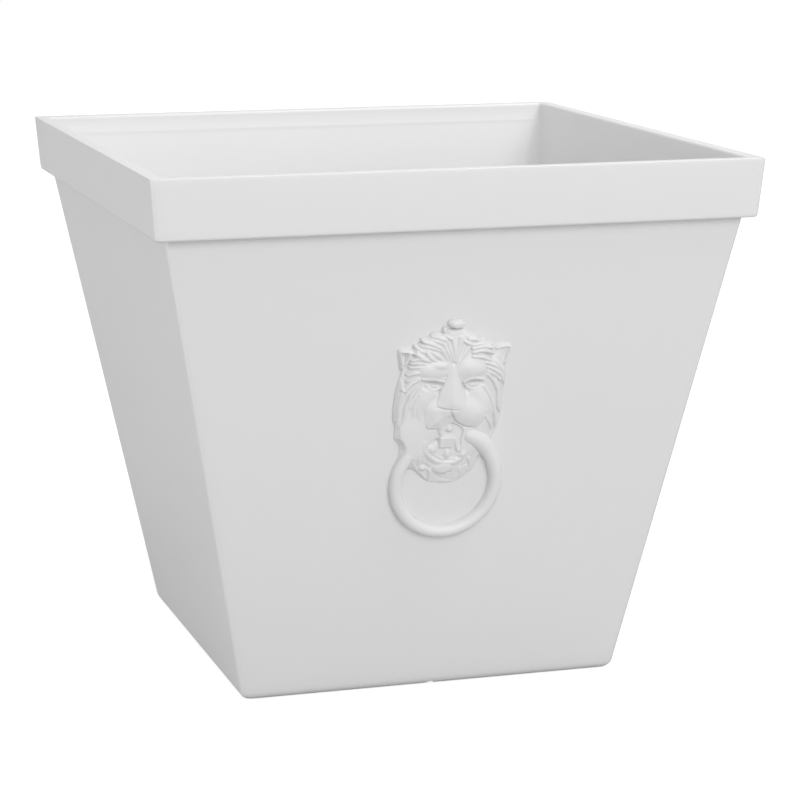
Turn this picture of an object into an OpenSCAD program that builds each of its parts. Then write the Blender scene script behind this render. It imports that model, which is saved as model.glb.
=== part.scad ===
// Square tapered planter with a turned-over rim, a drained floor and a lion mask on its front wall.
// Millimetres. +Z is up, the front faces -Y, and the origin is on the ground under the middle.

/* [Walls] */
// Width across the top of the rim
top_w = 400; // [360:1:440]
// Height from the ground to the top of the rim
height = 352.6; // [320:0.1:400]
// Width across the foot, where the wall planes reach the ground
foot_w = 257.4; // [235:0.1:285]
// Thickness of the walls, measured level
wall_t = 4.2; // [3.4:0.1:5]
// Radius on the walls' upright corners under the rim
wall_corner_r = 2.5; // [2:0.5:4]
// Radius on the same corners at the foot
foot_corner_r = 4; // [3:0.5:6]
// Radius of the inside corners where they meet the floor
inner_corner_r = 15; // [9:1:20]

/* [Rim] */
// Height of the turned-over rim
rim_h = 38.5; // [30:0.5:48]
// How far the rim's lower edge stands out past the wall
rim_overhang = 7.5; // [6.5:0.1:10]
// How much the rim narrows on each side from its top to its lower edge
rim_draft = 3.1; // [1.5:0.1:4]
// Thickness of the skirt that hangs from the lip
skirt_t = 3; // [2.4:0.1:3.6]
// Width of the flat lip
lip_w = 9.5; // [8.5:0.1:11]
// Depth of the lip above the rim's hollow
lip_t = 6; // [5:0.5:10]
// Height of the upright band inside the mouth
mouth_h = 12; // [9:1:16]
// Radius on the rim's upright corners
rim_corner_r = 3; // [2.5:0.1:5]
// Radius along the skirt's lower edge
skirt_edge_r = 2; // [1:0.1:2.2]
// Radius on the lip's outer edge
lip_outer_r = 1.2; // [0.8:0.1:1.6]
// Radius on the lip's inner edge
lip_inner_r = 2.2; // [1.2:0.1:2.6]
// Number of ribs in the rim's hollow on each side
rib_count = 5; // [3:1:7]
// Spacing of the ribs
rib_pitch = 66; // [50:1:80]
// Thickness of a rib
rib_t = 1.8; // [1.4:0.1:2.4]

/* [Foot and floor] */
// Radius round the lower edge of the walls
foot_edge_r = 7; // [5:0.5:9]
// Width of the foot's ring on the ground
foot_ring_w = 6; // [5:0.5:8]
// Height of the hollow under the floor
under_floor_h = 12; // [9:0.5:16]
// Thickness of the floor
floor_t = 4.4; // [3.6:0.1:5.4]
// Radius on the corners of the raised floor
floor_corner_r = 8; // [6:1:12]
// Width of the vent under the middle of each side
vent_w = 6.6; // [5:0.2:8]
// Height of that vent
vent_h = 2.2; // [1.6:0.1:2.8]

/* [Drain plugs] */
// Diameter of the four drain holes
drain_d = 22; // [18:1:26]
// Distance between the drain holes, each way
drain_pitch = 150; // [120:1:170]
// Gap round a plug in its hole
plug_gap = 0.05; // [0.03:0.01:0.08]
// Diameter of a plug's flange
flange_d = 30; // [28:1:36]
// Thickness of the flange
flange_t = 2.6; // [2:0.1:3.4]
// How far a plug reaches below the floor
plug_reach = 3; // [2:0.5:5]
// Diameter of a plug's finger knob
knob_d = 11; // [9:0.5:14]
// Height of the finger knob above the flange
knob_h = 8; // [6:0.5:11]

/* [Lion mask] */
// Height of the chin's tip above the ground, along the wall
mask_foot = 147; // [140:1:156]
// Height of the mane above the wall
mane_h = 4.4; // [3.8:0.2:5.4]
// Radius on the mask's outer edge
mask_edge_r = 4.2; // [3:0.2:5]
// How far the head stands above the mane
head_rise = 2; // [1:0.2:3]
// How far a lock of hair stands above the mane
lock_rise = 1.8; // [1:0.2:2.6]
// How far the brow stands above the mane
brow_rise = 4.2; // [3:0.2:5]
// How far the eyelids stand above the mane
lid_rise = 3.2; // [2.2:0.2:3.6]
// How far the nose stands above the mane
nose_rise = 6.5; // [5:0.5:7]
// How far the muzzle stands above the mane
muzzle_rise = 4.6; // [3.6:0.2:5.4]
// How far the chin stands above the mane
chin_rise = 2.4; // [1.4:0.2:3]
// Depth of the open mouth below the head
mouth_d = 2.6; // [1.6:0.2:3.2]
// How far the tongue stands out of the mouth's floor
tongue_h = 2.6; // [1.6:0.2:3]
// Spacing of the points that the relief is drawn through
relief_pitch = 1.3; // [1.25:0.05:3]

/* [Knocker ring] */
// Diameter of the ring along the middle of its bar
ring_d = 67; // [64:0.5:70]
// Width of the ring's bar
ring_bar_w = 9.5; // [8:0.5:10.5]
// Height of the bar above the wall
ring_bar_h = 7; // [6.5:0.5:9]
// Gap between the ring and the mask
ring_gap = 0.4; // [0.3:0.1:0.6]

/* [Hidden] */

rim_z = height - rim_h;
wall_top_half = top_w / 2 - rim_draft - rim_overhang;
wall_slope = (wall_top_half - foot_w / 2) / rim_z;
wall_lean = atan(wall_slope);
hollow_z = height - lip_t;
mouth_z = height - mouth_h;
mouth_half = top_w / 2 - lip_w;
floor_z = under_floor_h + floor_t;
foot_flat_half = foot_w / 2 - foot_edge_r * (1 - sin(wall_lean)) / cos(wall_lean);
under_floor_half = foot_flat_half - foot_ring_w;
floor_half = under_floor_half + floor_t;
gutter_r = 2;
arc_steps = 4;
corner_steps = 6;
resin = "whitesmoke";

// Half width of the wall's outer face at height z
function wall_half(z) = foot_w / 2 + wall_slope * z;

// Half width of the skirt's outer face at height z
function skirt_half(z) = top_w / 2 - rim_draft * (height - z) / rim_h;

// Points round a square of the given half width with rounded corners
function square_ring(half, r) = [
    for (corner = [0 : 3], step = [0 : corner_steps])
        let (a = 90 * corner + 90 * step / corner_steps,
             cx = (corner == 0 || corner == 3 ? 1 : -1) * (half - r),
             cy = (corner < 2 ? 1 : -1) * (half - r))
        [cx + r * cos(a), cy + r * sin(a)]
];

// A rounded edge of the wall's section, as rows of [half width, height, corner radius]
function arc(half, z, r, from, to, corner) = [
    for (step = [0 : arc_steps])
        let (a = from + (to - from) * step / arc_steps)
        [half + r * cos(a), z + r * sin(a), corner]
];

// The moulding's section from the foot up the outside, over the lip and down the inside
wall_section = concat(
    [[under_floor_half, 0, floor_corner_r]],
    arc(foot_flat_half, foot_edge_r, foot_edge_r, 270, 360 - wall_lean, foot_corner_r),
    [
        [wall_half(rim_z), rim_z, wall_corner_r],
        [wall_half(hollow_z), hollow_z, wall_corner_r],
        [skirt_half(hollow_z) - skirt_t, hollow_z, wall_corner_r],
        [skirt_half(rim_z) - skirt_t, rim_z, wall_corner_r]
    ],
    arc(skirt_half(rim_z) - skirt_edge_r, rim_z + skirt_edge_r, skirt_edge_r, 270, 360, rim_corner_r),
    arc(top_w / 2 - lip_outer_r, height - lip_outer_r, lip_outer_r, 0, 90, rim_corner_r),
    arc(mouth_half + lip_inner_r, height - lip_inner_r, lip_inner_r, 90, 180, wall_corner_r),
    [
        [mouth_half, mouth_z, wall_corner_r],
        [wall_half(mouth_z) - wall_t, mouth_z - 1, wall_corner_r],
        [wall_half(floor_z) - wall_t, floor_z, inner_corner_r],
        [wall_half(wall_t + gutter_r) - wall_t, wall_t + gutter_r, inner_corner_r],
        [wall_half(wall_t) - wall_t - gutter_r, wall_t, inner_corner_r],
        [floor_half, wall_t, floor_corner_r],
        [floor_half, floor_z, floor_corner_r],
        [under_floor_half, floor_z, floor_corner_r]
    ]
);

// A closed section carried round the square
module square_sweep(section) {
    rings = [for (row = section) [for (p = square_ring(row[0], row[2])) [p[0], p[1], row[1]]]];
    n = len(rings[0]);
    m = len(rings);
    polyhedron(
        points = [for (ring = rings, p = ring) p],
        faces = [
            for (i = [0 : m - 1], k = [0 : n - 1], half = [0, 1])
                let (a = i * n + k, b = i * n + (k + 1) % n,
                     c = ((i + 1) % m) * n + (k + 1) % n, d = ((i + 1) % m) * n + k)
                half == 0 ? [a, d, c] : [a, c, b]
        ]
    );
}

// Places children on the front wall: X across, Y up the wall, Z out of it
module on_front_wall() {
    translate([0, -foot_w / 2, 0]) rotate([90 + wall_lean, 0, 0]) children();
}

// Runs children on each of the four sides
module each_side() {
    for (turn = [0 : 3]) rotate([0, 0, 90 * turn]) children();
}

module planter_shell() {
    color(resin)
    difference() {
        union() {
            square_sweep(wall_section);
            floor_plate();
            each_side() rim_ribs();
        }
        for (sx = [-1, 1], sy = [-1, 1])
            translate([sx * drain_pitch / 2, sy * drain_pitch / 2, 0])
            cylinder(h = floor_z + 1, d = drain_d, $fn = 64);
        each_side() vent();
    }
}

// The raised floor inside the foot's ring
module floor_plate() {
    translate([0, 0, under_floor_h])
    linear_extrude(floor_t)
    polygon(square_ring(under_floor_half + floor_t / 2, floor_corner_r));
}

// Thin ribs that join the skirt to the wall inside the rim's hollow
module rim_ribs() {
    bite = 1;
    low = rim_z + 4;
    for (i = [0 : rib_count - 1])
        translate([(i - (rib_count - 1) / 2) * rib_pitch - rib_t / 2, 0, 0])
        rotate([90, 0, 90])
        linear_extrude(rib_t)
        polygon([
            [wall_half(low) - bite, low],
            [skirt_half(low) - skirt_t + bite, low],
            [skirt_half(hollow_z) - skirt_t + bite, hollow_z + bite],
            [wall_half(hollow_z) - bite, hollow_z + bite]
        ]);
}

// A low arched groove under the foot's ring
module vent() {
    r = (vent_w * vent_w / 4 + vent_h * vent_h) / (2 * vent_h);
    translate([0, -foot_w / 2 - 1, vent_h - r])
    rotate([-90, 0, 0])
    cylinder(h = foot_w / 2 - under_floor_half + 2, r = r, $fn = 48);
}

// A push-in plug, turned about its own axis, with its flange on the floor
module drain_plug(sx, sy) {
    r = drain_d / 2 - plug_gap;
    tip = -floor_t - plug_reach;
    lead = 1.2;
    edge = 0.8;
    neck = knob_d / 2 - 2;
    color("dimgray")
    translate([sx * drain_pitch / 2, sy * drain_pitch / 2, floor_z])
    rotate_extrude($fn = 64)
    polygon([
        [0, tip], [r - lead, tip], [r, tip + lead], [r, 0],
        [flange_d / 2, 0], [flange_d / 2, flange_t - edge], [flange_d / 2 - edge, flange_t],
        [neck, flange_t], [neck, flange_t + knob_h - 4], [knob_d / 2, flange_t + knob_h - 3],
        [knob_d / 2, flange_t + knob_h - 1], [knob_d / 2 - 1, flange_t + knob_h], [0, flange_t + knob_h]
    ]);
}

module drain_plug_front_left() drain_plug(-1, -1);
module drain_plug_front_right() drain_plug(1, -1);
module drain_plug_back_left() drain_plug(-1, 1);
module drain_plug_back_right() drain_plug(1, 1);

// The ring's centre on the wall, and the angles where its bar leaves the beard and ends in the mouth
ring_u = -0.8;
ring_v = 0.6;
ring_from = 140;
ring_to = 431;
ring_r = ring_d / 2;
bar_r = ring_bar_w / 2;

// The bar's section, flat on the wall and round on top, drawn in by ease
module bar_section(ease) {
    side_h = ring_bar_h - bar_r;
    r = bar_r - ease;
    translate([-r, 0]) square([2 * r, side_h]);
    intersection() {
        translate([0, side_h]) circle(r = r, $fn = 48);
        translate([-r, side_h]) square([2 * r, r]);
    }
}

module knocker_ring() {
    dome_ease = 0.1;
    color(resin)
    on_front_wall()
    translate([ring_u, mask_foot + ring_v, 0])
    rotate([0, 0, ring_from]) {
        rotate_extrude(angle = ring_to - ring_from, $fn = 120)
        translate([ring_r, 0])
        bar_section(0);
        rotate([0, 0, ring_to - ring_from])
        translate([ring_r, 0, 0])
        rotate([0, 0, 90])
        rotate_extrude($fn = 48)
        intersection() {
            bar_section(dome_ease);
            square([bar_r, ring_bar_h]);
        }
    }
}

// The mask's left and right edges at heights above the chin's tip
mask_outline = [
    [0, -4, 4], [1.6, -12, 8.5], [5.6, -17.5, 14], [10.4, -22.6, 18.5], [11.8, -27, 19], [15.6, -31, 21],
    [21, -33.4, 23.6], [27, -33.2, 28], [31.6, -35.4, 30], [33.2, -37.2, 30.4], [42, -37.4, 33],
    [46, -38.8, 34], [49, -40.4, 34.2], [61, -40, 34.4], [68, -39, 36.2], [75, -37, 36.2],
    [80, -35.6, 34.8], [84, -35.6, 34.6], [88, -36.8, 35.6], [92, -37.4, 36.4], [94, -37.4, 36.4],
    [94.8, -36, 35], [95.6, -27.6, 27], [99.8, -22, 15.4], [102.4, -16.8, 12], [104.6, -10.4, 8.6],
    [107, -6.6, 5.8], [111, -6.4, 5.8], [113, -5, 4.6], [114.4, -1.2, 1]
];
mask_left = [for (row = mask_outline) [row[0], row[1]]];
mask_right = [for (row = mask_outline) [row[0], row[2]]];
mask_top = mask_outline[len(mask_outline) - 1][0];

// Heights where the ring's bar cuts into the mask's outline
ring_in = ring_r - bar_r - ring_gap;
ring_out = ring_r + bar_r + ring_gap;
bar_end = ring_from - atan(ring_gap / ring_r);
bar_in_v = ring_v + ring_in * sin(bar_end);
bar_out_v = ring_v + ring_out * sin(bar_end);
cap_u = ring_u + ring_r * cos(ring_to);
cap_v = ring_v + ring_r * sin(ring_to);
cap_r = bar_r + 2.5 * ring_gap;
cap_top = cap_v + cap_r;

// Half width of the ring's inside at height v
function ring_hole(v) = sqrt(max(0, ring_in * ring_in - (v - ring_v) * (v - ring_v)));

// The mask's edges, kept clear of the ring
function left_edge(v) = let (x = lookup(v, mask_left))
    v < bar_in_v ? max(x, ring_u - ring_hole(v))
    : v < bar_out_v ? ring_u + (v - ring_v) / tan(bar_end)
    : x;
function right_edge(v) = let (x = lookup(v, mask_right), cap = cap_r * cap_r - (v - cap_v) * (v - cap_v))
    v > cap_top + 0.01 ? x
    : v > cap_v ? min(x, cap_u - sqrt(max(0, cap)))
    : min(x, ring_u + ring_hole(v), cap > 0 ? cap_u - sqrt(cap) : x);

// How far out a point lies in an ellipse [across, up, half width, half height, turn], 1 on its edge
function spread(u, v, f) = norm([
    ((u - f[0]) * cos(f[4]) + (v - f[1]) * sin(f[4])) / f[2],
    ((v - f[1]) * cos(f[4]) - (u - f[0]) * sin(f[4])) / f[3]
]);

// The higher of two heights, with a soft valley of size k where they meet
function join(a, b, k) = let (t = max(0, min(1, 0.5 + (a - b) / (2 * k)))) b + (a - b) * t + k * t * (1 - t);

// Forms: [ellipse, height at its edge, height in its middle, fullness, softness of the join]
function add_forms(u, v, list, h, i = 0) = i == len(list) ? h : let (f = list[i])
    add_forms(u, v, list, join(h, f[1] + (f[2] - f[1]) * (1 - pow(spread(u, v, f[0]), f[3])), f[4]), i + 1);

// Hollows: [ellipse, depth]
function hollow(u, v, f) = f[1] * pow(max(0, 1 - pow(spread(u, v, f[0]), 2)), 1.2);

// The point [across, up, half width, size] between a and b that lies nearest
function nearest(u, v, a, b) = let (
        way = [b[0] - a[0], b[1] - a[1]],
        t = max(0, min(1, ([u - a[0], v - a[1]] * way) / (way * way)))
    ) a + (b - a) * t;

// A ridge through points [across, up, half width, height], whose flanks drop by slope times its half width
function ridge(u, v, path, slope) = max([
    for (i = [0 : len(path) - 2])
        let (p = nearest(u, v, path[i], path[i + 1]), d = norm([u - p[0], v - p[1]]))
        p[3] - slope * p[2] * pow(min(1, d / p[2]), 1.6) - 4 * max(0, d - p[2])
]);

// A scored line through points [across, up, half width, depth]
function score(u, v, path) = max([
    for (i = [0 : len(path) - 2])
        let (p = nearest(u, v, path[i], path[i + 1]), d = norm([u - p[0], v - p[1]]))
        d < p[2] ? p[3] * (1 - d * d / p[2] / p[2]) : 0
]);

// A lock of hair: [root across, root up, tip across, tip up, bend, half width]
function lock(u, v, f) = let (
        way = [f[2] - f[0], f[3] - f[1]],
        n = norm(way),
        t = ((u - f[0]) * way[0] + (v - f[1]) * way[1]) / n / n,
        s = ((v - f[1]) * way[0] - (u - f[0]) * way[1]) / n - f[4] * n * 4 * t * (1 - t),
        w = t > 0 && t < 1 ? f[5] * min(1, 0.6 + 2 * t) * sqrt(1 - t * t * t) : 0
    ) abs(s) < w ? lock_rise * (1 - s * s / w / w) * min(1, 3 * t) : 0;

// A fan of locks from a first one to a last one
function fan(first, last, count) = [for (i = [0 : count - 1]) first + (last - first) * i / (count - 1)];

head = mane_h + head_rise;
brow = mane_h + brow_rise;
lid = mane_h + lid_rise;
nose = mane_h + nose_rise;
muzzle = mane_h + muzzle_rise;
chin = mane_h + chin_rise;
mouth_floor = head - mouth_d;
tongue = mouth_floor + tongue_h;

skull_forms = [
    [[-0.5, 59.5, 25, 44, 0], mane_h - 0.6, head, 3, 2],
    [[-0.5, 82, 22, 10, 0], mane_h, head + 0.8, 3, 1.5],
    [[-25.5, 31.5, 11, 19, 0], mane_h - 0.6, mane_h + 1.5, 3, 1.5],
    [[-12.5, 81, 11, 6, -5], head - 1, brow, 2.6, 1.2],
    [[10.5, 81, 10.6, 6.4, 5], head - 1, brow, 2.6, 1.2]
];
face_hollows = [
    [[-14.5, 72, 8.6, 4.2, -6], 2.8],
    [[13, 71, 8.2, 4.2, 8], 2.6],
    [[-8.5, 70, 3.2, 5.6, -40], 1.8],
    [[6, 70, 3.6, 6.2, 40], 2.4],
    [[-34, 89.5, 2.2, 5, 4], 2.4],
    [[32, 89.5, 2.2, 5, -4], 2]
];
face_forms = [
    [[-19, 63, 6, 10.5, -24], head - 1.6, head + 0.3, 2, 2],
    [[17, 61, 6, 10.5, 24], head - 1.6, head + 0.3, 2, 2],
    [[-13, 71, 4.4, 2.6, 6], head - 2, head - 0.2, 2, 0.4],
    [[12.5, 71, 4.4, 2.6, -6], head - 2, head - 0.2, 2, 0.4],
    [[-11, 49.5, 8.6, 8.4, -6], head - 1.4, muzzle - 0.4, 4, 1.2],
    [[6.5, 51, 12.6, 9.4, 26], head - 1.4, muzzle + 0.6, 3, 2],
    [[-1.6, 58, 9.2, 3.2, 0], nose - 2, nose, 4, 0.9],
    [[-3, 13, 8.4, 6, 0], mane_h - 0.8, chin, 4, 1.2]
];
nose_roof = [
    [-1.4, 82.6, 2.6, nose - 3], [-2, 75.6, 4.4, nose - 2], [-2.2, 67, 7.6, nose - 0.9], [-2, 58, 10.6, nose]
];
upper_lids = [
    [[-20.8, 73.6, 0.8, lid - 1], [-17, 75, 1.3, lid], [-12.4, 75.4, 1.3, lid], [-8, 72.8, 0.9, lid - 0.6]],
    [[19.8, 73.4, 0.8, lid - 1], [15.6, 74.8, 1.3, lid], [10.8, 75.2, 1.3, lid], [6.8, 72.6, 0.9, lid - 0.6]]
];
lower_lid = head - 0.4;
lower_lids = [
    [[-17.2, 70, 0.8, lower_lid], [-14, 68.4, 1.1, lower_lid], [-7.6, 70, 0.8, lower_lid]],
    [[17, 69.8, 0.8, lower_lid], [13.8, 68.2, 1.1, lower_lid], [7.2, 69.8, 0.8, lower_lid]]
];
mouth_hollows = [[-4.5, 28, 12.4, 9.6, 0], [0, 38.5, 7.6, 6.6, 0]];
mouth_forms = [
    [[-3.6, 30.4, 5.4, 4.6, 0], mouth_floor, tongue, 6, 0.3],
    [[-0.6, 40.2, 3.7, 3.7, 0], mouth_floor - 0.6, tongue, 3, 0.3],
    [[-2.4, 22.8, 3.2, 4.4, 0], mouth_floor, tongue - 0.6, 3, 0.4],
    [[5, 29, 2, 6.6, 0], mouth_floor, tongue - 0.8, 3, 0.4],
    [[-12, 26.4, 3.2, 4.2, 20], mouth_floor, tongue - 1, 2, 0.5]
];
lower_lip = [
    [-18.6, 32, 1.6, head - 0.8], [-16.6, 25.6, 2, head - 0.5], [-12.6, 20, 2.2, head],
    [-6.8, 16.6, 2.4, head], [0, 15.6, 2.4, head], [6, 17.4, 2.2, head - 0.3]
];
beard = [
    [[-28, 25, 1.8, mane_h + 0.8], [-28, 18, 1.8, mane_h + 0.6], [-25.8, 13.4, 1.2, mane_h]],
    [[-21.4, 11.6, 1.5, mane_h + 0.4], [-17.2, 7.6, 1.6, mane_h], [-13.8, 3.8, 1, mane_h - 0.8]],
    [[-13.6, 11, 1.7, mane_h + 0.9], [-12, 7.4, 1.5, mane_h + 0.4], [-9.4, 4.6, 1, mane_h - 0.4]],
    [[14, 18, 1.6, mane_h + 0.6], [15.6, 13, 1.6, mane_h + 0.2], [14, 9, 1, mane_h - 0.6]],
    [[8, 11, 1.7, mane_h + 0.9], [8, 7.4, 1.5, mane_h + 0.4], [6, 4.6, 1, mane_h - 0.4]]
];
ear = mane_h + 0.6;
ears = [
    [[-28.6, 92.8, 1.4, ear], [-36, 93.2, 1.3, ear], [-35.6, 86, 1.2, ear], [-34.8, 82, 1, mane_h]],
    [[27, 92.8, 1.4, ear], [34.8, 93.2, 1.3, ear], [34.2, 86, 1.2, ear], [33.4, 82, 1, mane_h]]
];
parting_line = [[-1.4, 87, 2, 1], [-1.8, 83, 2.2, 1.2], [-2, 79.4, 1.8, 0.4]];
eye_lines = [
    [[-19.8, 72.2, 1.1, 1], [-16.2, 72.8, 1.2, 1.5], [-12.2, 73.2, 1.2, 1.6], [-8, 71, 1.1, 1.2]],
    [[19.6, 72, 1.1, 1], [16, 72.6, 1.2, 1.5], [12, 73, 1.2, 1.6], [7.6, 70.8, 1.1, 1.2]]
];
nose_line = [
    [-11.4, 56.2, 1.2, 1.4], [-8, 54.4, 1.4, 2.4], [-4.4, 53.8, 1.3, 2],
    [-2, 52.6, 1.2, 1.6], [2, 53.2, 1, 0.5]
];
lip_line = [
    [-3.2, 53.6, 1.2, 1.4], [-1.8, 50.6, 1.3, 2], [-0.4, 47, 1.3, 2.4],
    [2.2, 44.4, 1.4, 2.6], [6.2, 42.4, 1.4, 2.6], [10.2, 41.4, 1.3, 2.4]
];
knob_line = [[-8.6, 107.6, 1.3, 1.4], [-4, 107.8, 1.4, 2.2], [0, 107.6, 1.4, 2.2], [5, 107.4, 1.2, 1.4]];
scored_lines = concat([parting_line, nose_line, lip_line, knob_line], eye_lines);
locks = concat(
    fan([-13, 91.6, -26.2, 94.6, 0.06, 2.4], [-4.4, 100.4, -10.6, 103.8, 0.06, 2.1], 4),
    fan([-6.4, 87.6, -12.6, 97, -0.06, 2.3], [-2, 86.6, -4.2, 101, -0.04, 2.3], 3),
    fan([1.2, 84.6, 2.4, 101.6, 0.02, 2.6], [3.6, 85.6, 9.4, 97.6, -0.04, 2.6], 2),
    fan([-17.4, 86.8, -25.8, 91.6, 0.08, 2.4], [-8.8, 87.2, -15.4, 92.2, 0.08, 2.3], 3),
    fan([-19, 87.6, -30.2, 87.2, -0.06, 2.2], [-21.4, 76.8, -31.8, 74.2, -0.06, 2.2], 4),
    fan([8.4, 99.4, 18.4, 97.4, -0.08, 2.2], [11.4, 88, 25.6, 84.4, -0.08, 2.5], 4),
    fan([20.4, 82.8, 30, 77.8, -0.08, 2.3], [22, 78.4, 30.6, 72, -0.08, 2.2], 2),
    fan([27, 84.6, 35.8, 68, -0.1, 2.2], [22.6, 74.6, 29.4, 63.4, -0.08, 2.2], 3),
    fan([28.4, 70, 33, 48.6, 0.12, 2.2], [20, 60.4, 24.6, 43.4, -0.1, 2.2], 3),
    fan([-36.6, 68, -38.8, 48.8, 0.08, 2.3], [-21, 60, -23.4, 46.6, 0.08, 2.4], 4),
    fan([-23.4, 75, -32, 66.8, 0.12, 2], [-24.4, 69.4, -29.6, 57, 0.1, 2.2], 2),
    fan([-36, 43, -36.4, 35.4, 0.1, 1.8], [-30.8, 45, -32, 36.4, 0.1, 1.8], 2)
);

// The highest and the sum of some heights
function highest_ridge(u, v, list, slope) = max([for (path = list) ridge(u, v, path, slope)]);
function total(list) = list * [for (x = list) 1];

// Height of the relief, u across the face and v up from the chin's tip
function relief(u, v, in) = let (
        e = min(1, in / mask_edge_r),
        edge = mane_h * sqrt(1 - (1 - e) * (1 - e)),
        skull = add_forms(u, v, skull_forms, edge) - total([for (f = face_hollows) hollow(u, v, f)]),
        cheeks = add_forms(u, v, face_forms, skull),
        eyes = join(cheeks, highest_ridge(u, v, concat(upper_lids, lower_lids), 1), 0.5),
        face = join(eyes, ridge(u, v, nose_roof, 0.38), 0.8),
        bowl = mouth_floor + 14 * max(0, min([for (f = mouth_hollows) spread(u, v, f)]) - 0.85),
        lips = join(min(face, bowl), ridge(u, v, lower_lip, 0.7), 1.2),
        jaw = bowl < head ? add_forms(u, v, mouth_forms, lips) : lips,
        skin = join(jaw, highest_ridge(u, v, concat(beard, ears), 0.8), 0.5),
        hair = max([for (f = locks) lock(u, v, f)]),
        cuts = max([for (path = scored_lines) score(u, v, path)])
    ) min(skin + hair * e - cuts, 0.4 + 2.6 * in);

// Rows of points up the mask, with rows where the ring's bar meets it
function band(from, to) = let (n = ceil((to - from) / relief_pitch))
    [for (i = [0 : n - 1]) from + (to - from) * i / n];
row_step = 0.02;
relief_rows = concat(
    band(0, bar_in_v),
    band(bar_in_v, bar_out_v),
    band(bar_out_v + row_step, cap_top),
    band(cap_top + row_step, mask_top),
    [mask_top]
);
column_from = min([for (row = mask_outline) row[1]]);
column_to = max([for (row = mask_outline) row[2]]);
relief_columns = ceil((column_to - column_from) / relief_pitch);

// Columns run straight up the mask, and close up over the last stretch beside an edge
close_up_w = 3;
function close_up(d) = d > close_up_w ? d : close_up_w * close_up_w / (2 * close_up_w - d);
function column(l, r, j) = let (x = column_from + (column_to - column_from) * j / relief_columns)
    r - close_up(r - l - close_up(x - l));
function column_u(l, r, j) = let (first = column(l, r, 0), last = column(l, r, relief_columns))
    l + (r - l) * (column(l, r, j) - first) / (last - first);

module lion_mask() {
    n = relief_columns + 1;
    m = len(relief_rows);
    face_points = [
        for (v = relief_rows, j = [0 : relief_columns])
            let (l = left_edge(v), r = right_edge(v), u = column_u(l, r, j), in = min(u - l, r - u, v + 2))
            [u, v, max(in > 0 ? 0.4 : 0, in > 0 ? relief(u, v, in) : 0)]
    ];
    h = [for (p = face_points) p[2]];
    color(resin)
    on_front_wall()
    translate([0, mask_foot, 0])
    polyhedron(
        points = face_points,
        faces = concat(
            [
                for (i = [0 : m - 2], j = [0 : relief_columns - 1])
                    let (a = i * n + j, b = a + n, c = b + 1, d = a + 1)
                    each abs(h[a] - h[c]) < abs(h[b] - h[d]) ? [[a, b, c], [a, c, d]] : [[a, b, d], [b, c, d]]
            ],
            [
                for (i = [0 : m - 2])
                    let (a = i * n, b = a + n - 1)
                    each [[a, b, b + n], [a, b + n, a + n]]
            ],
            [
                [for (j = [0 : relief_columns]) j],
                [for (j = [relief_columns : -1 : 0]) (m - 1) * n + j]
            ]
        )
    );
}

planter_shell();
lion_mask();
knocker_ring();
drain_plug_front_left();
drain_plug_front_right();
drain_plug_back_left();
drain_plug_back_right();
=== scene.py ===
# %% [markdown]
# This lesson dresses a moulded resin planter: a tapered square pot with a turned-over rim, and a
# lion's mask with a knocker ring in relief on its front wall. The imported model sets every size. Each
# piece made here has the model's sizes and stands where the model has it, and nothing of it is moved.

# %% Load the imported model
import bpy
import bmesh
import math
import numpy as np
from mathutils import Matrix, Vector


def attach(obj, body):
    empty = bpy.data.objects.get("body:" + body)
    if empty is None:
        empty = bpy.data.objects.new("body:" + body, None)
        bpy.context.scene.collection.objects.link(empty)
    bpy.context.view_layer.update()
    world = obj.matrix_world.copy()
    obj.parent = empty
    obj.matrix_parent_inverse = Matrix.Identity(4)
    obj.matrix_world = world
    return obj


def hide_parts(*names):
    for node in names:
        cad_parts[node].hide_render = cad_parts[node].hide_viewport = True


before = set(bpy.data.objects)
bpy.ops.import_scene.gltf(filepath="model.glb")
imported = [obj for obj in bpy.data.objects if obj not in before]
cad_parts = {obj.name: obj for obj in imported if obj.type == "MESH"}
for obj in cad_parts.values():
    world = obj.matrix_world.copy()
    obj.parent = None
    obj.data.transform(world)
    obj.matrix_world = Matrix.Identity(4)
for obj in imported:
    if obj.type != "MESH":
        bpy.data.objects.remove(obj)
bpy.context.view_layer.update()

# %% [markdown]
# The camera stands a little left of the planter's front and looks down on it slightly. Its place was
# worked out from the planter's straight edges in the photograph, whose frame is 800 by 800.

# %% Camera
CAMERA_PLACE = Vector((-0.54018, -1.77947, 0.55016))
CAMERA_TURN = math.radians(-16.773)
CAMERA_DIP = math.radians(11.615)
LENS, SENSOR_WIDTH, SHIFT = 122.48, 36, 0.03814

bpy.ops.object.camera_add(location=CAMERA_PLACE, rotation=(math.pi / 2 - CAMERA_DIP, 0, CAMERA_TURN))
camera = bpy.context.object
camera.data.lens = LENS
camera.data.sensor_width = SENSOR_WIDTH
camera.data.shift_x = SHIFT
bpy.context.scene.camera = camera
print("camera looks along", [round(c, 4) for c in -camera.matrix_world.to_3x3().col[2]])

# %% [markdown]
# Three small helpers. Colours are written as the sRGB hex values that the eye would pick, and Blender
# wants linear light, so the first one turns them. The second adds a shader node with its settings and
# links, and the third starts a material with an empty node tree.

# %% Colour and node helpers
def linear(hex_colour):
    channels = [int(hex_colour[i:i + 2], 16) / 255 for i in (1, 3, 5)]
    return [c / 12.92 if c <= 0.04045 else ((c + 0.055) / 1.055) ** 2.4 for c in channels] + [1.0]


def add_node(tree, kind, settings=None, inputs=None, links=None):
    node = tree.nodes.new(kind)
    for name, value in (settings or {}).items():
        setattr(node, name, value)
    for name, value in (inputs or {}).items():
        node.inputs[name].default_value = value
    for name, source in (links or {}).items():
        tree.links.new(source, node.inputs[name])
    return node


def new_material(name):
    material = bpy.data.materials.new(name)
    material.use_nodes = True
    material.node_tree.nodes.clear()
    return material, material.node_tree


print("mid grey in linear light:", round(linear("#808080")[0], 3))

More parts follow.
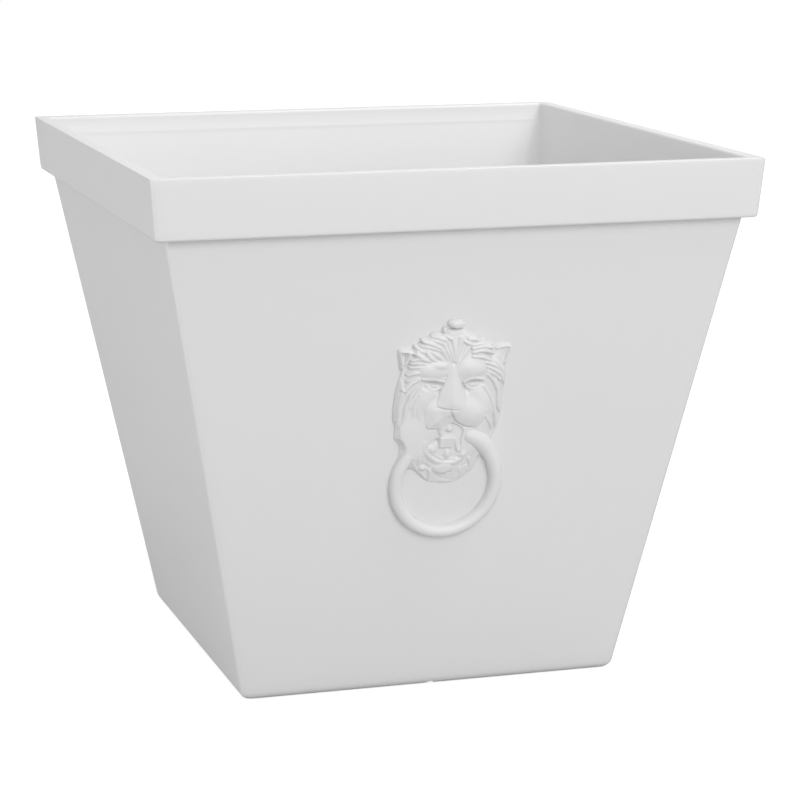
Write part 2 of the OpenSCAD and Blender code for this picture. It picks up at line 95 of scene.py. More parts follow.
# %% [markdown]
# The pot is polypropylene, injection moulded in white with a satin mould finish. The finish scatters
# most of the light, and a broad soft gloss shows on the slopes. The mould's own polish leaves a fine
# texture of about 0.1 mm, which is too fine to show and is drawn at 1.2 mm. The wall cools unevenly,
# which gives waves some 90 mm long and a few hundredths of a millimetre deep.

# %% Resin
TEXTURE_GRAIN, TEXTURE_DEPTH = 0.0012, 0.00002
WAVE_LENGTH, WAVE_DEPTH = 0.09, 0.0006


def moulded_resin():
    material, tree = new_material("polypropylene_white_moulded")
    place = add_node(tree, "ShaderNodeTexCoord").outputs["Object"]
    mould_texture = add_node(tree, "ShaderNodeTexNoise", inputs={"Scale": 1 / TEXTURE_GRAIN, "Detail": 2.0},
                             links={"Vector": place})
    sink_waves = add_node(tree, "ShaderNodeTexNoise", inputs={"Scale": 1 / WAVE_LENGTH, "Detail": 1.0},
                          links={"Vector": place})
    waves = add_node(tree, "ShaderNodeBump", inputs={"Strength": 0.25, "Distance": WAVE_DEPTH},
                     links={"Height": sink_waves.outputs["Fac"]})
    skin = add_node(tree, "ShaderNodeBump", inputs={"Strength": 0.12, "Distance": TEXTURE_DEPTH},
                    links={"Height": mould_texture.outputs["Fac"], "Normal": waves.outputs["Normal"]})
    gloss = add_node(tree, "ShaderNodeMapRange", inputs={"To Min": 0.36, "To Max": 0.46},
                     links={"Value": sink_waves.outputs["Fac"]})
    shader = add_node(tree, "ShaderNodeBsdfPrincipled",
                      inputs={"Base Color": linear("#e5e5e5"), "IOR": 1.49, "Specular IOR Level": 0.5},
                      links={"Normal": skin.outputs["Normal"], "Roughness": gloss.outputs["Result"]})
    add_node(tree, "ShaderNodeOutputMaterial", links={"Surface": shader.outputs["BSDF"]})
    return material


resin = moulded_resin()
print("material", resin.name)

# %% [markdown]
# The drain plugs are soft rubber, moulded in dark grey. Rubber gets a dusty bloom in patches about 6 mm
# wide, which lightens its grey a little here and there.

# %% Rubber
BLOOM_PATCH = 0.006


def plug_rubber():
    material, tree = new_material("rubber_grey_moulded")
    place = add_node(tree, "ShaderNodeTexCoord").outputs["Object"]
    bloom = add_node(tree, "ShaderNodeTexNoise", inputs={"Scale": 1 / BLOOM_PATCH, "Detail": 4.0},
                     links={"Vector": place})
    tint = add_node(tree, "ShaderNodeMix", {"data_type": "RGBA"}, links={"Factor": bloom.outputs["Fac"]})
    tint.inputs["A"].default_value = linear("#2b2b2c")
    tint.inputs["B"].default_value = linear("#3a3a3b")
    shader = add_node(tree, "ShaderNodeBsdfPrincipled", inputs={"IOR": 1.52, "Roughness": 0.72},
                      links={"Base Color": tint.outputs["Result"]})
    add_node(tree, "ShaderNodeOutputMaterial", links={"Surface": shader.outputs["BSDF"]})
    return material


rubber = plug_rubber()
print("material", rubber.name)

# %% [markdown]
# The model's own nodes get these materials too, before finer pieces stand for them. Only the list of
# materials changes. The shapes stay as they were packed.

# %% Materials on the model's nodes
def give_material(piece, material):
    piece.data.materials.clear()
    piece.data.materials.append(material)


for name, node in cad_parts.items():
    give_material(node, rubber if name.startswith("drain_plug") else resin)
print("nodes in rubber:", sum(name.startswith("drain_plug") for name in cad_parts))

# %% [markdown]
# The pot's sizes, in millimetres, as the model has them. The walls lean out at one angle from the foot
# to the rim, so a few numbers place everything on them.

# %% Sizes of the pot
TOP_HALF, HEIGHT, FOOT_HALF = 200.0, 352.6, 128.7
RIM_H, OVERHANG, DRAFT = 38.5, 7.5, 3.1
WALL_T, SKIRT_T, LIP_W, LIP_T, MOUTH_H = 4.2, 3.0, 9.5, 6.0, 12.0
FLOOR_LOW, FLOOR_TOP = 12.0, 16.4
RIM_Z, LIP_Z, MOUTH_Z = HEIGHT - RIM_H, HEIGHT - LIP_T, HEIGHT - MOUTH_H
SLOPE = (TOP_HALF - DRAFT - OVERHANG - FOOT_HALF) / RIM_Z
LEAN = math.atan(SLOPE)
FOOT_R, FOOT_W = 7.0, 6.0
FOOT_FLAT = FOOT_HALF - FOOT_R * (1 - math.sin(LEAN)) / math.cos(LEAN)
UNDER_HALF = FOOT_FLAT - FOOT_W


def wall_half(z):
    return FOOT_HALF + SLOPE * z


def skirt_half(z):
    return TOP_HALF - DRAFT * (HEIGHT - z) / RIM_H


print("walls lean", round(math.degrees(LEAN), 2), "degrees")

# %% [markdown]
# The real pot is one moulding whose wall runs round a square, so it is modelled as its section would be
# drawn. One ring of edges goes round a square with rounded corners. The stops along each side lie close
# together near its ends, so that the broad flat faces stay flat when they are shaded smooth.

# %% A ring round the square
CORNER_STEPS = 8
SIDE_STOPS = (0.012, 0.08, 0.2, 0.35, 0.5, 0.65, 0.8, 0.92, 0.988)


def square_ring(half, r):
    """Points round a square with rounded corners, with stops along its sides."""
    points = []
    for corner in range(4):
        cx = (half - r) * (1 if corner in (0, 3) else -1)
        cy = (half - r) * (1 if corner < 2 else -1)
        angles = [math.radians(90 * corner + 90 * step / CORNER_STEPS) for step in range(CORNER_STEPS + 1)]
        points += [(cx + r * math.cos(a), cy + r * math.sin(a)) for a in angles]
        turn = math.radians(90 * corner + 90)
        side = 2 * (half - r)
        x, y = points[-1]
        way = (-math.sin(turn), math.cos(turn))
        points += [(x + side * t * way[0], y + side * t * way[1]) for t in SIDE_STOPS]
    return points


print("points in a ring:", len(square_ring(100, 5)))

# %% [markdown]
# The first ring is added as a circle and put on its points, and then it is extruded to the next ring,
# again and again. The pot, the knocker ring and the plugs are all made this way, and their open ends are
# then filled and their faces turned outwards.

# %% Ring after ring
def select_alone(piece):
    bpy.ops.object.select_all(action="DESELECT")
    piece.select_set(True)
    bpy.context.view_layer.objects.active = piece


def new_shape(add_primitive, **sizes):
    bpy.ops.object.select_all(action="DESELECT")
    add_primitive(**sizes)
    return bpy.context.object


def loft(name, rings):
    """Extrudes the first ring of points to each of the next ones."""
    piece = new_shape(bpy.ops.mesh.primitive_circle_add, vertices=len(rings[0]), radius=1)
    piece.name = name
    for vertex, place in zip(piece.data.vertices, rings[0]):
        vertex.co = place
    bpy.ops.object.mode_set(mode="EDIT")
    bpy.ops.mesh.select_all(action="SELECT")
    for before, after in zip(rings, rings[1:]):
        bpy.ops.mesh.extrude_region_move()
        mesh = bmesh.from_edit_mesh(piece.data)
        target = {tuple(round(c, 7) for c in p): q for p, q in zip(before, after)}
        for vertex in mesh.verts:
            if vertex.select:
                vertex.co = target[min(target, key=lambda p: (vertex.co - Vector(p)).length_squared)]
        bmesh.update_edit_mesh(piece.data)
    bpy.ops.object.mode_set(mode="OBJECT")
    return piece


def fill_ends(mesh):
    bmesh.ops.holes_fill(mesh, edges=[e for e in mesh.edges if e.is_boundary], sides=0)
    bmesh.ops.recalc_face_normals(mesh, faces=mesh.faces)


def close_ends(piece):
    """Fills a lofted piece's open ends and turns its faces outwards."""
    mesh = bmesh.new()
    mesh.from_mesh(piece.data)
    fill_ends(mesh)
    mesh.to_mesh(piece.data)
    mesh.free()


def bend(half, z, radius, start, end, steps=6):
    """Places round a rounded edge of a section, from one angle to another."""
    angles = [math.radians(start + (end - start) * i / steps) for i in range(steps + 1)]
    return [(half + radius * math.cos(a), z + radius * math.sin(a)) for a in angles]


print("a bend has", len(bend(0, 0, 1, 0, 90)), "places")

# %% [markdown]
# This is the section itself, from the middle of the floor's underside out to the foot, up the wall, over
# the rim and down inside again. Each place is half the width across flats and the height, and each run
# of places has its corner's radius. The bends are the mould's radii, which catch the light on the real
# rim. Inside, the corners grow rounder below the mouth, as the photograph shows.

# %% The pot's section
SHARP, CORE = 2.5, 8
SKIRT_CORNER, FOOT_CORNER = 2.8, 4
RIM_EDGE_R, MOUTH_R, SKIRT_R = 0.4, 2.2, 2.0
# The inner corner's radius at depths below the mouth
INNER_CORNERS = [(1, 3.4), (4, 6), (10, 9), (24, 12), (50, 13.5)]
MIDDLE_Z = 160


def run(corner, *places):
    return [(half, z, corner) for half, z in places]


def outer(z):
    return wall_half(z), z


def inner(z):
    return wall_half(z) - WALL_T, z


underside = run(CORE, (20, FLOOR_LOW), (UNDER_HALF - 1, FLOOR_LOW), (UNDER_HALF, FLOOR_LOW - 1),
                (UNDER_HALF, 0.6), (UNDER_HALF + 0.6, 0))
outside = [
    *run(FOOT_CORNER, *bend(FOOT_FLAT, FOOT_R, FOOT_R, 270, 360 - math.degrees(LEAN)), outer(10)),
    *run(3.2, outer(MIDDLE_Z)),
    *run(SHARP, outer(RIM_Z - 2), outer(LIP_Z - 1), (wall_half(LIP_Z) + 1, LIP_Z)),
    *run(SHARP, (skirt_half(LIP_Z) - SKIRT_T - 1, LIP_Z), (skirt_half(LIP_Z - 1) - SKIRT_T, LIP_Z - 1)),
    *run(SHARP, (skirt_half(RIM_Z + 1) - SKIRT_T, RIM_Z + 1), (skirt_half(RIM_Z) - SKIRT_T + 0.3, RIM_Z)),
]
rim = [
    *run(SKIRT_CORNER, *bend(skirt_half(RIM_Z) - SKIRT_R, RIM_Z + SKIRT_R, SKIRT_R, 270, 360)),
    *run(SKIRT_CORNER, (skirt_half(RIM_Z + 4), RIM_Z + 4), (skirt_half(HEIGHT - 3), HEIGHT - 3)),
    *run(SKIRT_CORNER, *bend(TOP_HALF - RIM_EDGE_R, HEIGHT - RIM_EDGE_R, RIM_EDGE_R, 0, 90)),
    *run(SHARP, *bend(TOP_HALF - LIP_W + MOUTH_R, HEIGHT - MOUTH_R, MOUTH_R, 90, 180)),
    *run(SHARP, (TOP_HALF - LIP_W, MOUTH_Z + 0.8), (TOP_HALF - LIP_W - 0.4, MOUTH_Z)),
]
inside = [
    *[(*inner(MOUTH_Z - depth), corner) for depth, corner in INNER_CORNERS],
    *run(14.4, inner(MIDDLE_Z)),
    *run(15, inner(FLOOR_TOP), inner(7), (wall_half(5.4) - WALL_T - 0.6, 5.4)),
    *run(14, (wall_half(WALL_T) - WALL_T - 2.2, WALL_T)),
    *run(9, (UNDER_HALF + 5.4, WALL_T)),
    *run(8.4, (UNDER_HALF + 4.4, WALL_T + 1)),
    *run(CORE, (UNDER_HALF + 4.4, FLOOR_TOP - 1.2), (UNDER_HALF + 3.2, FLOOR_TOP), (20, FLOOR_TOP)),
]
section = underside + outside + rim + inside
rings = [[(x / 1000, y / 1000, z / 1000) for x, y in square_ring(half, r)] for half, z, r in section]
pot = loft("pot_shell", rings)
close_ends(pot)
print("pot:", len(section), "rings and", len(pot.data.polygons), "faces")

# %% [markdown]
# The floor has four round drain holes, and a low vent under the middle of each side lets water out from
# below. Holes in a moulding are where the mould's two halves touch, so cutting them with a boolean is
# the nearest thing to how they come about.

# %% Drain holes and vents
DRAIN_D, DRAIN_OFF, VENT_W, VENT_H = 22.0, 75.0, 6.6, 2.2
VENT_R = (VENT_W ** 2 / 4 + VENT_H ** 2) / (2 * VENT_H)
CUTTER_DEPTH, VENT_CUTTER_DEPTH = 20, 16


def cut_with(piece, cutter, operation="DIFFERENCE", solver="EXACT"):
    select_alone(piece)
    modifier = piece.modifiers.new("cut", "BOOLEAN")
    modifier.object = cutter
    modifier.operation = operation
    modifier.solver = solver
    bpy.ops.object.modifier_apply(modifier="cut")
    bpy.data.objects.remove(cutter)


for sx in (-1, 1):
    for sy in (-1, 1):
        centre = (sx * DRAIN_OFF / 1000, sy * DRAIN_OFF / 1000, (FLOOR_LOW + FLOOR_TOP) / 2000)
        cutter = new_shape(bpy.ops.mesh.primitive_cylinder_add, vertices=64, radius=DRAIN_D / 2000,
                           depth=CUTTER_DEPTH / 1000, location=centre)
        cut_with(pot, cutter)
for side in range(4):
    a = math.pi / 2 * side
    mid = (FOOT_HALF + UNDER_HALF) / 2000
    centre = (mid * math.cos(a), mid * math.sin(a), (VENT_H - VENT_R) / 1000)
    cutter = new_shape(bpy.ops.mesh.primitive_cylinder_add, vertices=96, radius=VENT_R / 1000,
                       depth=VENT_CUTTER_DEPTH / 1000, location=centre, rotation=(0, math.pi / 2, a))
    cut_with(pot, cutter)
print("pot cut:", len(pot.data.polygons), "faces")

# %% [markdown]
# In the hollow under the turned-over rim, thin ribs join the skirt to the wall and keep it straight. One
# rib is a plate between the two slopes, with its lower edge rounded. It is copied to five places on each
# side, and the moulding then takes all twenty up as one piece. Blender's fast solver joins them, because
# the exact one gave an empty mesh here.

# %% Ribs in the rim's hollow
RIB_COUNT, RIB_PITCH, RIB_T, RIB_BITE = 5, 66.0, 1.8, 1.0
RIB_LIFT, RIB_EDGE_R = 4, 0.6


def placed_copy(piece, place):
    """A copy with its own mesh, and its place in that mesh."""
    copy = piece.copy()
    copy.data = piece.data.copy()
    copy.data.transform(place)
    bpy.context.collection.objects.link(copy)
    return copy


rib = new_shape(bpy.ops.mesh.primitive_cube_add, size=1)
for vertex in rib.data.vertices:
    z = RIM_Z + RIB_LIFT if vertex.co.z < 0 else LIP_Z + RIB_BITE
    out = skirt_half(z) - SKIRT_T + RIB_BITE if vertex.co.y < 0 else wall_half(z) - RIB_BITE
    vertex.co = (vertex.co.x * RIB_T / 1000, -out / 1000, z / 1000)
bpy.ops.object.mode_set(mode="EDIT")
bpy.ops.mesh.select_all(action="DESELECT")
mesh = bmesh.from_edit_mesh(rib.data)
for edge in mesh.edges:
    low = all(v.co.z < (RIM_Z + RIB_LIFT + 1) / 1000 for v in edge.verts)
    edge.select_set(low and abs(edge.verts[0].co.y - edge.verts[1].co.y) > 0.001)
bmesh.update_edit_mesh(rib.data)
bpy.ops.mesh.bevel(offset=RIB_EDGE_R / 1000, segments=3)
bpy.ops.object.mode_set(mode="OBJECT")

copies = []
for side in range(4):
    for i in range(RIB_COUNT):
        across = Matrix.Translation(((i - (RIB_COUNT - 1) / 2) * RIB_PITCH / 1000, 0, 0))
        copies.append(placed_copy(rib, Matrix.Rotation(math.pi / 2 * side, 4, "Z") @ across))
bpy.data.objects.remove(rib)
select_alone(copies[0])
for copy in copies:
    copy.select_set(True)
bpy.ops.object.join()
cut_with(pot, copies[0], "UNION", "FAST")
print("pot with ribs:", len(pot.data.polygons), "faces")

# %% [markdown]
# The pot is now complete. Its faces are shaded smooth except at creases of more than 35 degrees, it takes
# the resin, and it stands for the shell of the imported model.

# %% The finished pot
POT_CREASE = 35

select_alone(pot)
bpy.ops.object.shade_smooth_by_angle(angle=math.radians(POT_CREASE))
give_material(pot, resin)
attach(pot, "planter")
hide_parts("planter_shell")
print("pot from", [round(min(v.co[i] for v in pot.data.vertices), 4) for i in range(3)])

# %% [markdown]
# The lion's mask is a relief that the mould's insert forms on the wall, so it has no undercuts and can
# be drawn as one height over each place of the wall. Places are millimetres across and up the wall from
# the middle of the foot's front edge. They were read off the photograph as if they stood 5 mm in front
# of the wall, and seen() gives the true place of what stands higher or lower.

# %% Paths and blends
READ_AT = 5
SHIFT_ACROSS, SHIFT_UP = -0.328, 0.407


def smooth_path(points, steps=10):
    """A smooth line through a few points."""
    p = np.array(points, float)
    p = np.vstack([2 * p[0] - p[1], p, 2 * p[-1] - p[-2]])
    t = np.linspace(0, 1, steps, endpoint=False)[:, None]
    out = []
    for a, b, c, d in zip(p, p[1:], p[2:], p[3:]):
        square, cube = 2 * a - 5 * b + 4 * c - d, 3 * b - a - 3 * c + d
        out.append(0.5 * (2 * b + (c - a) * t + square * t ** 2 + cube * t ** 3))
    out.append(p[-2:-1])
    return np.vstack(out)


def blend_max(a, b, soft):
    """The higher of two forms, with a soft edge between them."""
    share = np.clip(0.5 + 0.5 * (a - b) / soft, 0, 1)
    return b + (a - b) * share + soft * share * (1 - share)


def seen(u, v, h):
    """The true place of what is seen at a place, for its height."""
    return u + SHIFT_ACROSS * (h - READ_AT), v + SHIFT_UP * (h - READ_AT)


print("a point 8 mm high moves by", [round(c, 2) for c in seen(0, 0, 8)])

# %% [markdown]
# The relief is a grid of places 0.4 mm apart, each with its height over the wall. Every form on it needs
# to know how far each place is from the middle of an oval, from an outline or from a path, so these three
# measures come first.

# %% Measures on the grid
class Grid:
    """Places across and up the wall, and the height at each."""

    def __init__(self, us, vs):
        self.across, self.up = np.meshgrid(us, vs)
        self.height = np.full(self.across.shape, -1.0)

    def oval(self, u, v, half_u, half_v, turn):
        """Distance from the middle of an oval, as a share of its size."""
        c, s = np.cos(np.radians(turn)), np.sin(np.radians(turn))
        x, y = self.across - u, self.up - v
        return np.hypot((x * c + y * s) / half_u, (y * c - x * s) / half_v)

    def inside(self, outline):
        """Distance inside a closed outline, negative outside."""
        path = smooth_path(list(outline) + [outline[0]], 6)[:, :2]
        nearest = np.full(self.across.shape, 1e9)
        odd = np.zeros(self.across.shape, bool)
        for (u, v), (du, dv) in zip(path[:-1], path[1:] - path[:-1]):
            x, y = self.across - u, self.up - v
            t = np.clip((x * du + y * dv) / (du * du + dv * dv + 1e-12), 0, 1)
            nearest = np.minimum(nearest, np.hypot(x - t * du, y - t * dv))
            # A place is inside where a line from it crosses the outline an odd number of times
            if dv:
                odd ^= ((v > self.up) != (v + dv > self.up)) & (self.across < u + y * du / dv)
        return np.where(odd, nearest, -nearest)

    def near(self, path, reach):
        """The places near a path, how far each is from it, and the path's width and height there."""
        path = smooth_path(path)
        low, high = path.min(0) - reach, path.max(0) + reach
        close = (self.across > low[0]) & (self.across < high[0]) & (self.up > low[1]) & (self.up < high[1])
        x, y = self.across[close][:, None], self.up[close][:, None]
        start, step = path[:-1], path[1:] - path[:-1]
        along = (x - start[:, 0]) * step[:, 0] + (y - start[:, 1]) * step[:, 1]
        t = np.clip(along / (step[:, :2] ** 2).sum(1), 0, 1)
        away = np.hypot(x - start[:, 0] - t * step[:, 0], y - start[:, 1] - t * step[:, 1])
        # Thin parts of the path reach less far, so the nearest by share of its width wins
        best = np.argmin(away / (start[:, 2] + t * step[:, 2] + 0.3), 1)
        place = np.arange(len(x))
        t, away = t[place, best], away[place, best]
        return close, away, start[best, 2:] + t[:, None] * step[best, 2:]


SPACING = 0.4
us, vs = np.arange(-45, 41, SPACING), np.arange(144, 266, SPACING)
print("grid:", len(us), "by", len(vs), "places")

# %% [markdown]
# A modeller in clay builds a mask up from broad forms to fine strands, and this class has the same few
# moves. A form is a rounded lump and a hollow a thumb's dent. A stroke is a raised strand and a cut a
# scored line, both along a path. A plate is a raised pad, a pocket a sunk one, and a slab a small block.

# %% Strokes of the relief
class Relief(Grid):
    """The grid with a sculptor's moves on it."""

    def form(self, u, v, half_u, half_v, top, base, turn=0, power=2, soft=1.0):
        """A rounded lump on an oval."""
        share = self.oval(*seen(u, v, top), half_u, half_v, turn)
        self.height = blend_max(self.height, base + (top - base) * (1 - share ** power), soft)

    def hollow(self, u, v, half_u, half_v, depth, turn=0, at=6, power=1.5):
        """A dent on an oval, at a height over the wall."""
        share = self.oval(*seen(u, v, at), half_u, half_v, turn)
        self.height = self.height - depth * np.clip(1 - share * share, 0, 1) ** power

    def stroke(self, path, soft=0.4, power=2.0, drop=1.0, side=5.0):
        """A raised strand: points are (across, up, half width, top)."""
        path = [(*seen(u, v, top), half, top) for u, v, half, top in path]
        close, away, rest = self.near(path, max(point[2] for point in path) * 2 + 2)
        half = np.maximum(rest[:, 0], 0.15)
        crown = rest[:, 1] - drop * half * np.minimum(away / half, 1) ** power
        strand = crown - side * np.maximum(away - half, 0)
        self.height[close] = blend_max(self.height[close], strand, soft)

    def cut(self, path, at=5.5):
        """A scored line at a height over the wall: points are (across, up, half width, depth)."""
        path = [(*seen(u, v, at), half, depth) for u, v, half, depth in path]
        close, away, rest = self.near(path, max(point[2] for point in path) + 1)
        share = np.clip(1 - (away / np.maximum(rest[:, 0], 0.15)) ** 2, 0, 1)
        self.height[close] -= rest[:, 1] * share ** 1.3

    def pocket(self, outline, floor, slope=2.2, soft=0.5):
        """Lowers what lies inside an outline to a floor with steep sides."""
        depth = self.inside(outline)
        low = floor + np.maximum(0, 1.0 - depth) * slope
        low = np.where(depth > -1.5, low, 99)
        self.height = -blend_max(-self.height, -low, soft)

    def slab(self, u0, u1, v0, v1, low, high, edge=1.0, soft=0.2):
        """A block with a sloping top and bevelled edges."""
        x, y = self.across, self.up
        top = low + (high - low) * np.clip((y - v0) / (v1 - v0), 0, 1)
        off = np.maximum.reduce([u0 - x, x - u1, v0 - y, y - v1]) + edge
        bevel = top - (off / edge) ** 2 - np.maximum(off - edge, 0) * 5
        self.height = blend_max(self.height, np.where(off > 0, bevel, top), soft)

    def plate(self, outline, top, drop, edge, soft=0.6):
        """A raised pad inside an outline, rounded off towards its edge."""
        depth = self.inside(outline)
        pad = top - drop * (1 - np.clip(depth / edge, 0, 1)) ** 2
        self.height = np.where(depth > 0, blend_max(self.height, pad, soft), self.height)


clay = Relief(us, vs)
print("clay starts at", float(clay.height.max()), "mm")

# %% [markdown]
# The mask's outline runs from the crown down its left side, round the beard and up the right side. The
# ground inside it rises in a soft step from the wall. The cap is the height that nothing near the
# outline passes, so that the mask rounds down to the wall all the way along its edge.

# %% The mask's outline
OUTLINE = [
    (0, 255), (-6, 253.4), (-10.6, 249.8), (-15.6, 246), (-21, 242.6), (-26.6, 239.8), (-32, 239.8),
    (-35.4, 240), (-35.2, 236), (-34.2, 231), (-34.8, 227), (-36.4, 221), (-37.8, 215), (-38.6, 208),
    (-39.2, 201), (-38.8, 193), (-37.2, 189), (-37.2, 180.2), (-35.4, 178.6), (-33.2, 174), (-33.4, 168),
    (-31, 162.6), (-27, 158.8), (-22.6, 157.4), (-17.5, 152.6), (-12, 148.6), (-6, 147.4), (0, 146.8),
    (7, 148), (13, 151.6), (18, 156), (20.5, 162), (23.6, 168), (28, 174), (31, 182), (33.4, 190),
    (34.4, 198), (34.2, 207), (35.4, 214), (35.4, 222), (34.4, 229), (35.2, 235), (36.2, 239.6), (31, 239.6),
    (25, 240.6), (17.5, 243.4), (12, 248), (6, 252.8),
]
STEP_W, GROUND_W, CAP_W, CAP_SLOPE_W = 3.4, 11, 15, 4.0


def rounded(share):
    """Rises from 0 to 1 as a quarter of a circle does."""
    return np.sqrt(1 - (1 - np.clip(share, 0, 1)) ** 2)


inset = clay.inside(OUTLINE)
climb = np.clip((inset - 1) / GROUND_W, 0, 1)
ground = 0.1 + 1.6 * rounded(inset / STEP_W) + 2.7 * climb * climb * (3 - 2 * climb)
clay.height = np.where(inset > 0, ground, np.maximum(-1.0, inset * 3))
cap = np.where(inset < CAP_W - 1, 0.3 + 9 * rounded(inset / CAP_W), 99)
cap = np.where(inset > 0, cap * (0.35 + 0.65 * np.clip(inset / CAP_SLOPE_W, 0, 1)), -1)
print("ground rises to", round(float(clay.height.max()), 1), "mm")

# %% [markdown]
# The head comes first as three broad lumps, and the two brows go on it, with the crease between them.
# The numbers of a form are its place, its half sizes, and the heights of its top and its edge.

# %% Head and brows
clay.form(0, 206, 25, 44, 6.4, 3.8, power=3, soft=2)
clay.form(0, 228, 22, 10, 7.2, 4.5, power=3, soft=1.5)
clay.form(-24, 180, 12, 20, 5.9, 3.8, power=3, soft=1.5)
# Brows
clay.form(-13.4, 226.2, 11.2, 7.6, 8.2, 5.4, turn=-4, power=2.2, soft=1.6)
clay.form(11.2, 226, 10.4, 7.8, 8.4, 5.4, turn=4, power=2.2, soft=1.6)
clay.form(-9.6, 229.8, 4.4, 2.2, 8.6, 7.4, turn=-8, soft=1.4)
clay.cut([(-0.8, 233, 1.8, 1), (-1.2, 229, 2, 1.1), (-1.6, 225.5, 1.6, 0.3)], at=7)
clay.cut([(-8.4, 222.6, 0.8, 0.4), (-4.6, 222.6, 1, 0.7), (-2.2, 223.4, 0.7, 0.2)], at=7.5)
print("brows rise to", round(float(clay.height.max()), 1), "mm")

# %% [markdown]
# Each eye lies in a socket under a hooded lid. The sockets are pressed in first, then the cheeks come
# forward under them, and the eyeball, the lid's shadow line, the two lids and the pupil's dent follow.

# %% Eyes and cheeks
clay.hollow(-14, 216.6, 8.4, 4, 2.4, turn=-3, power=1.1)
clay.hollow(13.2, 215.8, 8, 4, 2.3, turn=4, power=1.1)
clay.hollow(6.8, 214.6, 3.4, 6, 2, turn=36)
clay.hollow(-8.6, 214.6, 3, 5.6, 1.5, turn=-36)
# Cheeks under the eyes
clay.form(-19, 207, 6, 10.5, 6.8, 4.8, turn=-24, soft=1.8)
clay.form(18.6, 205, 6, 10.5, 6.8, 4.8, turn=24, soft=1.8)
# Eyeballs under hooded lids
clay.form(-13.2, 216.8, 4.6, 2.6, 5.8, 4, turn=-4, soft=0.4)
clay.form(12.9, 216.2, 4.6, 2.4, 5.8, 4, turn=-2, soft=0.4)
clay.cut([(-20.9, 220, 0.6, 0.8), (-18.2, 219.4, 1, 1.5), (-15.2, 218.8, 1.2, 2.3),
          (-11.4, 218.4, 1, 2), (-7.4, 217.2, 0.6, 0.9)], at=6)
clay.cut([(6.7, 216, 0.7, 1), (8.8, 217.6, 1, 1.9), (11.4, 218.4, 1, 2.1), (14.8, 218.4, 1, 1.8),
          (18.6, 217.6, 0.5, 0.9)], at=6)
clay.stroke([(-21.4, 221.6, 0.6, 6.8), (-17.4, 221.4, 1.2, 7.3), (-12.8, 221, 1.3, 7.4),
             (-7, 219.2, 0.8, 7.2)], soft=1.1, drop=0.7)
clay.stroke([(6.4, 218.2, 0.7, 7.1), (9.4, 220.2, 1.2, 7.4), (13.4, 220.6, 1.3, 7.4),
             (19.2, 219.6, 0.6, 6.8)], soft=1.1, drop=0.7)
clay.stroke([(-19.4, 217.4, 0.5, 5.6), (-17.2, 215.4, 0.7, 5.8), (-14.2, 214, 0.8, 6),
             (-10.6, 214.6, 0.8, 6.2), (-7.8, 216.4, 0.5, 6.1)], soft=0.7)
clay.stroke([(18.6, 215.6, 0.5, 5.6), (15.8, 213.6, 0.8, 5.9), (12.4, 213.2, 0.8, 6.1),
             (9.2, 214.2, 0.7, 6.1), (7.4, 215.6, 0.4, 6)], soft=0.7)
clay.hollow(-13.4, 217.8, 1.2, 1.2, 0.8, at=6.2)
clay.hollow(13.2, 217.2, 1.2, 1.2, 0.8, at=6.2)
clay.hollow(9.6, 211.9, 1.8, 1.2, 0.7, turn=-20)
print("lids and brows rise to", round(float(clay.height.max()), 1), "mm")

# %% [markdown]
# The nose is one long stroke whose top falls off like a roof, wider and higher towards its tip. The
# muzzle is a pad on both sides of it, and scored lines draw the nostrils and the lip's edge.

# %% Nose and muzzle
# Nose: a roof whose crest runs down to the tip
clay.stroke([(-1.2, 228.5, 2.4, 7.8), (-1.4, 222, 3.5, 8.6), (-0.8, 214, 6.2, 9.6), (-0.4, 208, 8.4, 10.3),
             (-0.2, 203.6, 9.4, 10.6)], soft=1, power=1.4, drop=0.34)
# Muzzle pads, the upper lip
clay.plate([
    (-16.4, 187.4), (-9.6, 187.2), (-7.2, 187), (-4.2, 190.2), (-0.8, 191.8), (3, 190.8), (6.4, 188.8),
    (9.4, 187.6), (13.6, 186.6), (17.4, 187.6), (21.4, 193), (22.6, 199), (19, 205), (12, 209), (0, 212),
    (-13, 208.5), (-18.8, 203), (-18.6, 195), (-17.4, 189.4)], top=8.8, drop=3.6, edge=9.5, soft=2.2)
clay.cut([(-17.6, 190.4, 0.5, 0.3), (-16.6, 187.6, 0.7, 0.9), (-13, 187, 0.8, 1.1), (-9.6, 187, 0.8, 1.1),
          (-8, 185.4, 0.7, 0.7)], at=5.6)
# Nostril
clay.cut([(-10.4, 202.2, 0.7, 0.8), (-7, 201, 0.9, 1.6), (-3.6, 200.7, 0.9, 1.7), (-0.8, 199.9, 0.8, 1.5),
          (2, 199.8, 0.6, 0.6), (4.9, 199.8, 0.5, 0.2)], at=8)
print("nose rises to", round(float(clay.height.max()), 1), "mm")

# %% [markdown]
# The mouth is a pocket between the lips, with the jaw's bow round it. The tongue lies in it as a small
# block with a bead above and a lump below, and the folds of the mouth's corners lie beside it. The cleft
# and the lip's edge are scored, the chin is a firm lump, and then the cap takes down whatever has risen
# too near the outline.

